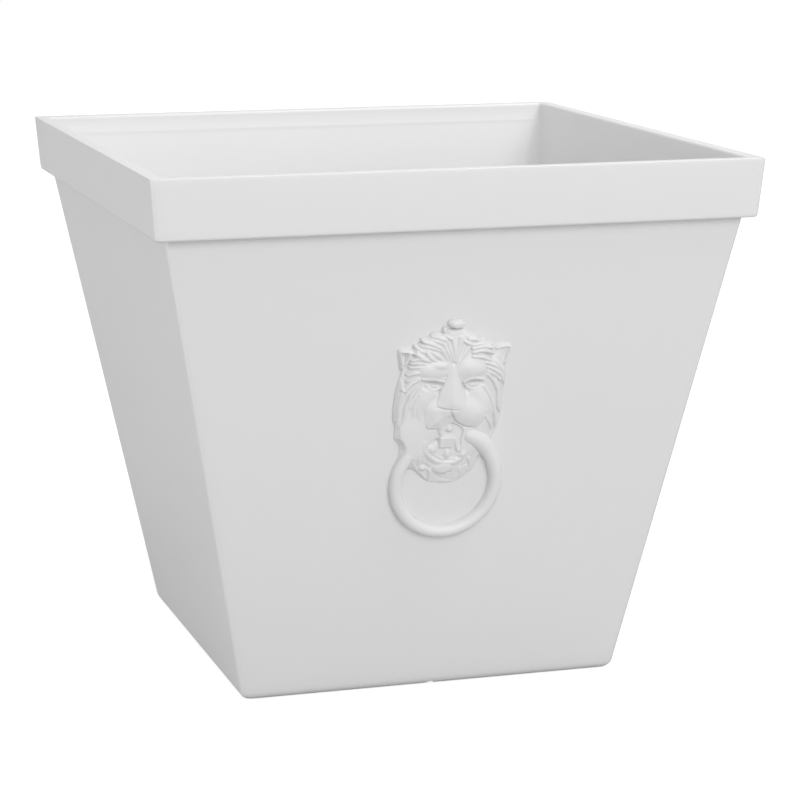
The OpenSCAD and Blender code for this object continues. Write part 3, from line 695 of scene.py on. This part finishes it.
# %% Mouth and chin
clay.pocket([
    (-10.6, 187.4), (-8.6, 186.4), (-6.8, 182.6), (-5.2, 185.4), (-3.4, 189.4), (-0.6, 191.4), (2.8, 190.4),
    (6, 188.4), (8.2, 185), (7.2, 178), (8, 172), (6.6, 168), (2.6, 165.6), (-4, 165.8), (-9.4, 167.6),
    (-12.8, 170.6), (-15.8, 175.4), (-14.2, 178.6), (-11.4, 181), (-10.4, 184)], floor=4.2)
clay.stroke([
    (-17.8, 178, 1.4, 5.7), (-16.4, 173, 1.8, 5.9), (-12.6, 167.6, 2.2, 6.1), (-6.6, 163.6, 2.6, 6.2),
    (0, 162.4, 2.6, 6.2), (6, 163.8, 2.2, 6), (9.6, 168.4, 1.8, 5.7)], soft=1.6, drop=0.6)
clay.cut([(-16.2, 175.4, 0.7, 0.8), (-14.2, 171.4, 1, 1.4), (-11.2, 168.3, 1.1, 1.7),
          (-5.4, 165.2, 1, 1.6), (-0.8, 164.6, 0.9, 1.1), (3, 164.7, 0.8, 0.7)], at=4.8)
clay.hollow(5.9, 166.6, 2.2, 1.5, 1.5, at=4.8)
clay.form(-11.6, 172.8, 3.4, 3.6, 5.9, 3.8, turn=24, soft=0.5)
clay.hollow(-9.4, 178.2, 1.8, 3, 1.8, turn=-10, at=4.6)
clay.slab(-7.9, 1.4, 173.6, 181.7, low=5.6, high=6.8)
clay.form(-0.9, 186.4, 3, 3, 6.9, 3.8, power=2.6, soft=0.2)
clay.form(-1.6, 168.8, 2.7, 4.6, 6, 3.8, power=3, soft=0.3)
clay.stroke([(3, 179.6, 0.9, 5.2), (4.2, 175, 1.4, 5.8), (5.8, 171.2, 1.4, 5.8), (7.8, 173.6, 1.2, 5.8)],
             soft=0.5)
# Cleft and the right lip's edge
clay.cut([
    (-2, 199.6, 0.8, 1.2), (-1.2, 197.6, 0.8, 1.5), (0, 195.2, 0.9, 1.8), (1.8, 192.2, 0.9, 2),
    (4.8, 189.7, 0.9, 2), (8.9, 187.7, 0.9, 1.9), (13.5, 186.6, 0.8, 1.2), (16.8, 187, 0.6, 0.4)], at=6.4)
# Chin
clay.form(-3.2, 158.6, 6.8, 4.4, 6.6, 4.4, power=5, soft=0.9)
clay.cut([(-1.4, 155.6, 0.6, 0.5), (0.4, 155.1, 1.1, 1.2), (2, 154.9, 0.6, 0.4)], at=6)
clay.cut([(-7.8, 153.4, 0.7, 0.5), (-4.4, 151.5, 0.8, 0.8), (-0.9, 150.6, 0.7, 0.6), (2.5, 149.6, 0.8, 0.9),
          (5.7, 149.3, 0.6, 0.6)], at=4.5)
clay.height = np.minimum(clay.height, cap)
print("ground is nowhere over", round(float(clay.height.max()), 1), "mm")

# %% [markdown]
# The beard is short strands round the jaw with scored lines between them, and the ears and the round
# knob on the crown stand a little outside the outline.

# %% Beard, ears and knob
clay.stroke([(-27.6, 172, 1.4, 4.9), (-27.4, 165, 1.4, 4.7), (-25.6, 160.6, 0.8, 4.2)], soft=0.9, drop=0.7)
clay.cut([(-26.1, 167.2, 0.6, 0.7), (-25.4, 163, 0.8, 1.1), (-23.6, 160, 0.8, 1),
          (-21.8, 161.4, 0.6, 0.6)], at=4.8)
clay.cut([(-21.2, 166.4, 0.6, 0.6), (-20.8, 160.7, 0.7, 1)], at=5)
clay.cut([(-19.6, 160.6, 0.7, 0.8), (-16.5, 162.3, 0.9, 1.2), (-13.9, 160.8, 0.9, 1.2),
          (-13.5, 157.9, 0.7, 0.8)], at=5)
clay.form(-17, 159.6, 2.4, 1.9, 5.5, 3.8, turn=-20, soft=0.4)
clay.stroke([(-21.6, 158.4, 1, 4.6), (-17.4, 154.4, 1.1, 4.3), (-14.2, 150.6, 0.5, 3.4)], soft=0.5)
clay.stroke([(-12.6, 158, 1.2, 5.1), (-12, 154.5, 1.1, 4.7), (-13.4, 151, 0.5, 3.6)], soft=0.6)
clay.cut([(10, 159.6, 0.6, 0.8), (12.9, 160.7, 0.7, 1), (15.6, 160.2, 0.6, 0.7)], at=5)
clay.stroke([(13.6, 165, 1.3, 5), (15, 160, 1.3, 4.6), (13.2, 156.4, 0.6, 3.8)], soft=0.9, drop=0.7)
clay.stroke([(8, 158, 1.4, 5.1), (8, 154.6, 1.3, 4.7), (5.6, 152, 0.6, 4)], soft=0.9, drop=0.7)
# Ears
clay.stroke([
    (-28.6, 239.6, 1, 4.6), (-33.4, 240.7, 0.9, 4.4), (-36.6, 240.7, 0.7, 3.8), (-36.6, 237.6, 0.7, 3.6),
    (-35.4, 232.8, 0.8, 3.8), (-35, 229.8, 0.8, 4)], soft=0.3, side=2.5)
clay.hollow(-33.9, 236.2, 1.9, 4.8, 1.3, turn=4, at=3.5)
clay.stroke([(-30.6, 239.8, 0.8, 4.8), (-31.2, 236.4, 0.8, 4.8), (-33.4, 232, 0.6, 4.4)], soft=0.3, side=3)
clay.stroke([(27, 240.4, 0.9, 3.6), (31.5, 241.2, 0.9, 3.4), (35.4, 240.9, 0.7, 3),
             (35.2, 237.6, 0.7, 2.8), (34, 233, 0.8, 3), (33.2, 230, 0.7, 3.2)], soft=0.3, side=2)
clay.hollow(32, 236.4, 2, 4.6, 0.8, turn=-4, at=4)
# Knob on the crown
clay.form(-0.2, 257.2, 5.8, 3.4, 5.4, 1, power=4, soft=0.3)
clay.form(-8.4, 253.8, 1.4, 1.8, 4.2, 1.6, power=3, soft=0.3)
clay.cut([(-8.6, 254.4, 0.8, 0.8), (-4, 255, 0.9, 1.8), (0, 254.8, 0.9, 1.8), (4, 254.5, 0.7, 1)],
          at=3.4)
print("knob reaches", round(float(clay.up[clay.height > 0].max()), 1), "mm up the wall")

# %% [markdown]
# The mane is drawn lock by lock, each a stroke that swells and runs out to a thin end. The long locks
# lie behind and the short tufts in front, so the order is from back to front on each side.

# %% Locks of hair
HAIR = [
    # Left of the parting
    [(-21.2, 240.4, 1.4, 5.4), (-24.8, 242, 1.2, 5.2), (-27.2, 243.4, 0.5, 4.4)],
    [(-12.2, 238.4, 1.5, 6.4), (-19.2, 240.2, 1.8, 6.2), (-26.2, 240.8, 0.8, 5.2)],
    [(-10.2, 240.2, 1.4, 6.6), (-17.2, 242.6, 1.6, 6.4), (-23.8, 244, 0.6, 4.8)],
    [(-10.2, 242, 1.5, 6.8), (-16.6, 245, 1.8, 6.4), (-22.6, 247.2, 0.6, 4.6)],
    [(-7.7, 244.4, 1.7, 6.4), (-12.8, 246.6, 2, 6.2), (-17.8, 248, 0.8, 4.8)],
    [(-7.2, 247, 1.6, 6.2), (-11.8, 249, 1.7, 6.2), (-16.6, 249.8, 0.6, 4.6)],
    [(-3.2, 247.6, 1.5, 6), (-6.8, 249.6, 1.4, 5.8), (-9.6, 250.4, 0.5, 4.6)],
    [(-5.7, 233.9, 1.1, 7), (-8.6, 239.4, 1.6, 7.2), (-11.8, 243.8, 0.8, 6.4)],
    [(-3.6, 233.9, 1, 7.2), (-6.2, 239.9, 1.5, 7.2), (-10, 246.4, 0.7, 6)],
    [(-2.2, 233.4, 1, 7.3), (-4, 240.4, 1.5, 7.2), (-7.2, 247, 0.7, 6)],
    [(-1, 232.9, 0.9, 7.4), (-1.4, 240.4, 1.5, 7.2), (-3.4, 247.8, 0.9, 6)],
    [(0.4, 230.2, 1, 7.6), (1.2, 238.4, 2.3, 7.1), (2.4, 247.9, 2.2, 5.8)],
    [(2.6, 231.4, 1.1, 7.5), (6, 238.4, 2.8, 6.7), (9.2, 244.4, 1.8, 5.8)],
    [(-19.7, 229.4, 1, 6.4), (-25.2, 229.9, 1.3, 6.2), (-30.2, 230, 0.6, 5.2)],
    [(-19.7, 231.8, 0.9, 6.6), (-25.2, 232.7, 1.1, 6.4), (-29.8, 232.7, 0.5, 5.4)],
    [(-18.7, 234.8, 1.1, 6.8), (-24.2, 235.4, 1.5, 6.6), (-29.2, 234.6, 0.6, 5.6)],
    [(-20.7, 226.6, 1.1, 6.2), (-26.2, 226, 1.5, 6.4), (-31.4, 225, 0.6, 5.2)],
    [(-21.2, 223.4, 1.1, 6), (-26.2, 222, 1.5, 5.8), (-31.6, 220.8, 0.6, 5)],
    [(-17, 233.1, 1.2, 6.8), (-21.5, 235.4, 2.2, 7.2), (-25.4, 238.2, 1.6, 6.8)],
    [(-12, 232.4, 1.2, 7), (-16, 235.4, 2.2, 7.4), (-19, 238.6, 1.6, 7)],
    [(-8.2, 233.4, 1.2, 7), (-11.2, 236.2, 2, 7.4), (-14.8, 238.6, 1.5, 7)],
    # Right of the parting
    [(7.8, 247.4, 1.4, 6), (12.4, 246.6, 1.7, 6), (17, 244.2, 0.6, 4.8)],
    [(10.8, 243.2, 1.3, 6.6), (7.8, 244.4, 1.4, 6.8), (5, 245.8, 0.6, 6.2)],
    [(9.8, 242.6, 1.3, 6.4), (15.8, 243.6, 1.7, 6.3), (23.4, 242.4, 0.7, 4.8)],
    [(10.8, 240.8, 1.1, 6.7), (17.8, 241.6, 1.4, 6.9), (24.4, 240.6, 0.6, 5.4)],
    [(11.3, 238, 1.2, 6.9), (17.8, 239, 1.9, 7.1), (25, 237, 0.6, 5.6)],
    [(11.3, 235.2, 1.2, 7), (18.3, 234.4, 2.1, 7.2), (25.6, 231, 0.6, 5.6)],
    [(20.3, 230.8, 1.2, 6.5), (25.3, 229, 1.7, 6.5), (29.8, 226.2, 0.6, 5.2)],
    [(21.3, 227.9, 1.2, 6.3), (26.3, 225.6, 1.6, 6.3), (31.2, 221.8, 0.6, 5)],
    [(21.8, 224.7, 1.2, 6), (26.8, 222.2, 1.5, 5.9), (30.8, 218.4, 0.6, 4.8)],
    [(24.8, 232.4, 1.4, 5.6), (30.2, 227.6, 1.7, 5.2), (33.6, 220.6, 1.3, 4.6), (36.4, 214.4, 0.5, 3.6)],
    [(26.8, 227.4, 1.3, 5.6), (31, 222, 1.5, 5.2), (33.8, 215.6, 0.5, 4)],
    [(22, 222.6, 1.2, 6), (26.4, 217.8, 1.5, 5.8), (29.4, 211.2, 0.6, 4.8)],
    [(27, 220, 1.3, 5.2), (29.8, 213.4, 1.4, 5), (30.2, 205, 1.3, 4.8), (31, 199.5, 1.1, 4.2),
     (33.6, 195.2, 0.5, 3.4)],
    [(20, 214.5, 1.2, 6), (24.4, 208, 1.6, 5.8), (27.8, 200, 1.5, 5.2), (29, 193, 1.1, 4.8),
     (29.6, 187.2, 0.5, 4)],
    [(19.4, 206.5, 1.2, 6.2), (22.6, 201.5, 1.5, 6), (22.2, 196, 1.3, 5.8), (24.8, 190, 0.6, 5.2)],
    [(23, 203.5, 1.2, 5.8), (25.8, 197, 1.4, 5.4), (25.2, 191, 1.2, 5.2), (27, 185.4, 0.6, 4.4)],
]
SIDE_HAIR = [
    # Left side of the mane
    [(-23, 221.5, 1.1, 6), (-28, 219.4, 1.4, 5.8), (-31.4, 216.2, 1.2, 5.6), (-31.8, 213.4, 0.6, 5.2)],
    [(-36, 220, 0.9, 4.8), (-35.4, 216.6, 1.1, 5.2), (-33, 214.2, 1, 5.4), (-31.2, 215.6, 0.5, 5.4)],
    [(-24, 216, 1.3, 5.8), (-28.6, 209.6, 1.7, 5.6), (-29.4, 203, 0.7, 5)],
    [(-22.6, 211, 1.4, 6), (-25.6, 204, 1.9, 5.8), (-26, 197.4, 1.7, 5.6), (-29.2, 192, 0.7, 5)],
    [(-29, 208, 1.4, 5.4), (-31, 202.4, 1.8, 5.3), (-31.6, 196.6, 1.5, 5.2), (-33.6, 191.4, 0.7, 4.6)],
    [(-34, 212, 1.5, 5.2), (-36, 205, 1.9, 5), (-36, 199, 1.7, 5), (-37, 193.4, 0.7, 4.4)],
    [(-37.2, 215, 1.2, 4.6), (-38.8, 208, 1.4, 4.6), (-39.2, 200.6, 1.3, 4.4), (-40, 195.2, 0.6, 3.8)],
    [(-19.8, 206, 1.2, 6.4), (-22, 199.6, 1.5, 6.2), (-22.2, 193.4, 0.8, 5.8)],
    [(-36.2, 190, 1.2, 4.6), (-37.2, 186, 1.2, 4.4), (-37.6, 182.4, 0.8, 4)],
]
for lock in HAIR:
    clay.stroke(lock, soft=0.25, side=4.0)
for lock in SIDE_HAIR:
    clay.stroke(lock, soft=0.5, drop=0.9, side=3.5)
print("locks:", len(HAIR) + len(SIDE_HAIR))

# %% [markdown]
# Last, the edge is drawn down. Below the ears the cap rounds all of the mane off towards the wall, and
# the beard thins out downwards to half its height.

# %% The edge and the thin beard
EAR_FOOT, BEARD_END, BEARD_LONG = 224, 146, 24
CAP_BLEND = 1.2

capped = np.where(inset > 0, -blend_max(-clay.height, -cap, CAP_BLEND), np.minimum(clay.height, cap))
clay.height = np.where(clay.up < EAR_FOOT, capped, clay.height)
thin = 0.5 + 0.5 * np.clip((clay.up - BEARD_END) / BEARD_LONG, 0, 1)
clay.height = np.where(clay.height > 0, clay.height * thin, clay.height)
print("relief covers", round(float((clay.height > 0).sum() * SPACING ** 2 / 100)), "square centimetres")

# %% [markdown]
# The front wall leans outwards, so a place on it is given by how far it is across, up the wall and out
# of it. The real relief is moulded in one with the wall, so the mask gets a back that lies in the wall:
# its open edge is drawn 1 mm in and filled.

# %% Places on the wall
ROOT = 0.001


def on_wall(u, v, h):
    """A place on the front wall: u across, v up the wall and h out of it."""
    y = -FOOT_HALF - v * math.sin(LEAN) - h * math.cos(LEAN)
    return np.stack([u, y, v * math.cos(LEAN) - h * math.sin(LEAN)], -1) / 1000


def close_back(mesh):
    """Draws the open edge down into the wall and fills it."""
    foot = Vector((0, -FOOT_HALF / 1000, 0))
    out = Vector((0, -math.cos(LEAN), -math.sin(LEAN)))
    made = bmesh.ops.extrude_edge_only(mesh, edges=[e for e in mesh.edges if e.is_boundary])
    for vertex in [g for g in made["geom"] if isinstance(g, bmesh.types.BMVert)]:
        vertex.co -= out * ((vertex.co - foot).dot(out) + ROOT)
    fill_ends(mesh)


print("the crown is at", [round(float(c), 4) for c in on_wall(0, 255, 0)])

# %% [markdown]
# The heights become a mesh: a grid laid on the front wall, each point raised by the relief's height.
# What lies more than 0.4 mm below the wall's face is deleted. Sculpting by hand with brushes would give
# the same forms, but drawn as heights they come out the same each time.

# %% The mask
BURIED = -0.4

mask = new_shape(bpy.ops.mesh.primitive_grid_add, x_subdivisions=len(us) - 1,
                 y_subdivisions=len(vs) - 1, size=2)
mask.name = "lion_mask_relief"
flat = np.empty(len(mask.data.vertices) * 3)
mask.data.vertices.foreach_get("co", flat)
flat = flat.reshape(-1, 3)
column = np.round((flat[:, 0] + 1) / 2 * (len(us) - 1)).astype(int)
row = np.round((flat[:, 1] + 1) / 2 * (len(vs) - 1)).astype(int)
height = clay.height[row, column]
mask.data.vertices.foreach_set("co", on_wall(us[column], vs[row], height).ravel())
mesh = bmesh.new()
mesh.from_mesh(mask.data)
mesh.verts.ensure_lookup_table()
bmesh.ops.delete(mesh, geom=[v for v in mesh.verts if height[v.index] < BURIED], context="VERTS")
bmesh.ops.delete(mesh, geom=[v for v in mesh.verts if not v.link_faces], context="VERTS")
close_back(mesh)
mesh.to_mesh(mask.data)
mesh.free()
bpy.ops.object.shade_smooth()
give_material(mask, resin)
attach(mask, "planter")
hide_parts("lion_mask")
print("mask:", len(mask.data.polygons), "faces")

# %% [markdown]
# The knocker ring lies flat on the wall and is moulded with it too. Its bar is round on top and drops
# straight to the wall at its sides. It comes out of the mane on the left, runs round the chin, and its
# rounded end swings a little outwards where it lies in the lion's mouth. The bar's section is swept
# along that path, ring after ring, and the last few sections shrink to make the rounded end.

# %% The knocker ring
RING_U, RING_V = -0.8, 147.6
RING_START, RING_END, RING_STEP, END_STEPS = 140, 425, 3, 8
SIDE_TOP, SIDE_FOOT, RING_CREASE = 0.7, -0.8, 40
# The bar's place round the ring in degrees, its radius to the middle, its width and its height
RING_BAR = [
    (140, 33.5, 8.6, 6.6), (180, 33.6, 8.3, 6.4), (270, 33.8, 8.1, 6.4), (315, 33.7, 8.4, 6.5),
    (385, 34.0, 9.2, 6.8), (395, 34.5, 10.0, 7.0), (405, 35.3, 11.4, 7.2), (416, 35.9, 12.8, 7.3),
    (425, 36.1, 13.0, 7.3),
]


def bar_at(turn):
    turns, radii, widths, heights = np.array(RING_BAR).T
    return [float(np.interp(turn, turns, values)) for values in (radii, widths, heights)]


def bar_ring(turn, share=1.0, ahead=0.0):
    """The section's points at one place on the bar, drawn in to a share of its size at the end."""
    radius, width, height = bar_at(turn)
    half, rise = width / 2 * share, width / 2 * share ** 0.6
    a = math.radians(turn)
    angles = [math.pi * t / 16 for t in range(17)]
    top = [(half * math.cos(b), height - width / 2 + rise * math.sin(b)) for b in angles]
    sides = [(-half, SIDE_TOP), (-half, SIDE_FOOT), (0, SIDE_FOOT)]
    points = []
    for across, h in [(half, SIDE_FOOT), (half, SIDE_TOP), *top, *sides]:
        r = radius + across
        u = RING_U + r * math.cos(a) - ahead * math.sin(a)
        v = RING_V + r * math.sin(a) + ahead * math.cos(a)
        points.append(tuple(float(c) for c in on_wall(u, v, h)))
    return points


bar = [bar_ring(turn) for turn in np.arange(RING_START, RING_END + 0.01, RING_STEP)]
end_half = bar_at(RING_END)[1] / 2
for step in range(1, END_STEPS + 1):
    t = math.sin(math.pi / 2 * step / END_STEPS)
    bar.append(bar_ring(RING_END, max((1 - t ** 2.6) ** 0.38, 0.05), end_half * t))
ring = loft("ring_bar", bar)
close_ends(ring)
bpy.ops.object.shade_smooth_by_angle(angle=math.radians(RING_CREASE))
give_material(ring, resin)
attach(ring, "planter")
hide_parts("knocker_ring")
print("ring:", len(ring.data.polygons), "faces")

# %% [markdown]
# Four soft plugs close the drain holes and lift out by their knobs. A plug is turned about one axis, so
# its half section is lofted round by round, with the small radii that moulded rubber has at each edge.

# %% One drain plug
PLUG_R, PLUG_TIP, FLANGE_R, FLANGE_T = 10.95, -7.4, 15.0, 2.6
NECK_R, KNOB_R, KNOB_H = 3.5, 5.5, 8.0
KNOB_TOP = FLANGE_T + KNOB_H
PLUG_SIDES, PLUG_CREASE = 64, 50

half_section = [
    (0.4, PLUG_TIP), (PLUG_R - 1.6, PLUG_TIP), *bend(PLUG_R - 1.2, PLUG_TIP + 1.2, 1.2, 270, 360, 4),
    (PLUG_R, -3.7), (PLUG_R, -0.2), (PLUG_R + 0.2, 0), (FLANGE_R - 0.4, 0),
    *bend(FLANGE_R - 0.3, 0.3, 0.3, 270, 360, 3), *bend(FLANGE_R - 0.8, FLANGE_T - 0.8, 0.8, 0, 90, 4),
    (FLANGE_R - 1.6, FLANGE_T), (NECK_R + 1.4, FLANGE_T),
    *bend(NECK_R + 0.9, FLANGE_T + 0.9, 0.9, 270, 180, 4),
    (NECK_R, KNOB_TOP - 4.6), (NECK_R + 0.2, KNOB_TOP - 4), (KNOB_R - 0.6, KNOB_TOP - 3.4),
    *bend(KNOB_R - 0.6, KNOB_TOP - 2.8, 0.6, 300, 360, 3),
    *bend(KNOB_R - 1.1, KNOB_TOP - 1.1, 1.1, 0, 90, 4), (KNOB_R - 2.2, KNOB_TOP), (0.4, KNOB_TOP),
]
turns = [math.tau * i / PLUG_SIDES for i in range(PLUG_SIDES)]
rounds = []
for r, z in half_section:
    rounds.append([(r * math.cos(t) / 1000, r * math.sin(t) / 1000, z / 1000) for t in turns])
plug = loft("plug", rounds)
close_ends(plug)
bpy.ops.object.shade_smooth_by_angle(angle=math.radians(PLUG_CREASE))
give_material(plug, rubber)
print("plug:", len(half_section), "rounds of", len(turns))

# %% [markdown]
# Each hole gets a copy of the plug. The place goes into the copy's mesh, so that its object stays at the
# origin, as the model's own plugs do.

# %% Four drain plugs
for sy, row in ((-1, "front"), (1, "back")):
    for sx, side in ((-1, "left"), (1, "right")):
        hole = (sx * DRAIN_OFF / 1000, sy * DRAIN_OFF / 1000, FLOOR_TOP / 1000)
        copy = placed_copy(plug, Matrix.Translation(hole))
        copy.name = "rubber_plug_%s_%s" % (row, side)
        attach(copy, "plug_%s_%s" % (row, side))
        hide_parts("drain_plug_%s_%s" % (row, side))
        print("plug at", [round(c, 4) for c in hole])
bpy.data.objects.remove(plug)

# %% [markdown]
# The photograph's background is plain white. The floor looks white to the camera alone, a little less so
# close to the planter, and stays an ordinary pale surface for the light that falls on the planter. Under
# the planter's foot it stays dark, as it looks through an open drain hole.

# %% Floor
# From 0.25 m to 1 m away from the middle the glow goes from 0.79 to full white
GLOW = {"From Min": 0.25, "From Max": 1.0, "To Min": 0.79, "To Max": 1.0}
FLOOR_SIZE = 12


def studio_white():
    material, tree = new_material("studio_floor")
    path = add_node(tree, "ShaderNodeLightPath")
    pale = add_node(tree, "ShaderNodeBsdfDiffuse", inputs={"Color": linear("#b4b4b4")})
    place = add_node(tree, "ShaderNodeTexCoord").outputs["Object"]
    away = add_node(tree, "ShaderNodeVectorMath", {"operation": "LENGTH"}, links={"Vector": place})
    glow = add_node(tree, "ShaderNodeMapRange", inputs=GLOW, links={"Value": away.outputs["Value"]})
    plan = add_node(tree, "ShaderNodeVectorMath", {"operation": "ABSOLUTE"}, links={"Vector": place})
    sides = add_node(tree, "ShaderNodeSeparateXYZ", links={"Vector": plan.outputs["Vector"]})
    half = add_node(tree, "ShaderNodeMath", {"operation": "MAXIMUM"},
                    links={0: sides.outputs["X"], 1: sides.outputs["Y"]})
    clear = add_node(tree, "ShaderNodeMath", {"operation": "GREATER_THAN"}, {1: UNDER_HALF / 1000},
                     {0: half.outputs["Value"]})
    level = add_node(tree, "ShaderNodeMath", {"operation": "MULTIPLY"},
                     links={0: glow.outputs["Result"], 1: clear.outputs["Value"]})
    white = add_node(tree, "ShaderNodeEmission", links={"Strength": level.outputs["Value"]})
    both = add_node(tree, "ShaderNodeAddShader",
                    links={0: pale.outputs["BSDF"], 1: white.outputs["Emission"]})
    mixed = add_node(tree, "ShaderNodeMixShader", links={
        0: path.outputs["Is Camera Ray"], 1: pale.outputs["BSDF"], 2: both.outputs["Shader"]})
    add_node(tree, "ShaderNodeOutputMaterial", links={"Surface": mixed.outputs["Shader"]})
    return material


floor = new_shape(bpy.ops.mesh.primitive_plane_add, size=FLOOR_SIZE, location=(0, 0, 0))
floor.name = "floor"
floor.data.materials.append(studio_white())
print("floor:", [round(c, 1) for c in floor.dimensions])

# %% [markdown]
# Behind the floor the camera sees the world, which is white to the camera and gives the planter an even
# weak light from all round.

# %% Backdrop
WORLD_LIGHT = 0.43

world = bpy.context.scene.world or bpy.data.worlds.new("studio")
bpy.context.scene.world = world
world.use_nodes = True
tree = world.node_tree
tree.nodes.clear()
path = add_node(tree, "ShaderNodeLightPath")
light = add_node(tree, "ShaderNodeBackground", inputs={"Color": (1, 1, 1, 1), "Strength": WORLD_LIGHT})
white = add_node(tree, "ShaderNodeBackground", inputs={"Color": (1, 1, 1, 1), "Strength": 1.0})
sky = add_node(tree, "ShaderNodeMixShader", links={
    0: path.outputs["Is Camera Ray"], 1: light.outputs["Background"], 2: white.outputs["Background"]})
add_node(tree, "ShaderNodeOutputWorld", links={"Surface": sky.outputs["Shader"]})
print("world light:", WORLD_LIGHT)

# %% [markdown]
# The photograph has soft, even light with hardly a cast shadow on the front, so two wide lamps stand
# near the camera, one low and one high. A third wide lamp fills the left wall, and one above lights the
# lip and the inside. A weak one behind is what the rim's flat top mirrors towards the camera, as it does
# the white studio behind a real one. Their powers were matched to the tones of the photograph.

# %% Lights
AIM = (0, 0, 0.2)
# Each lamp's name, its place and width in metres, and its power in watts
LAMPS = [
    ("key", (0.15, -2.6, 1.1), 1.9, 34),
    ("high_front", (0.4, -2.3, 1.9), 1.3, 4),
    ("left", (-2.6, 0.25, 0.4), 1.0, 26),
    ("top", (1.1, -0.45, 2.5), 1.4, 31),
    ("back", (0.75, 2.6, 1.05), 1.4, 4),
]
for name, place, size, power in LAMPS:
    bpy.ops.object.light_add(type="AREA", location=place)
    lamp = bpy.context.object
    lamp.name = name
    lamp.data.shape = "SQUARE"
    lamp.data.size = size
    lamp.data.energy = power
    lamp.rotation_euler = (Vector(AIM) - Vector(place)).to_track_quat("-Z", "Y").to_euler()
bpy.context.scene.view_settings.view_transform = "Standard"
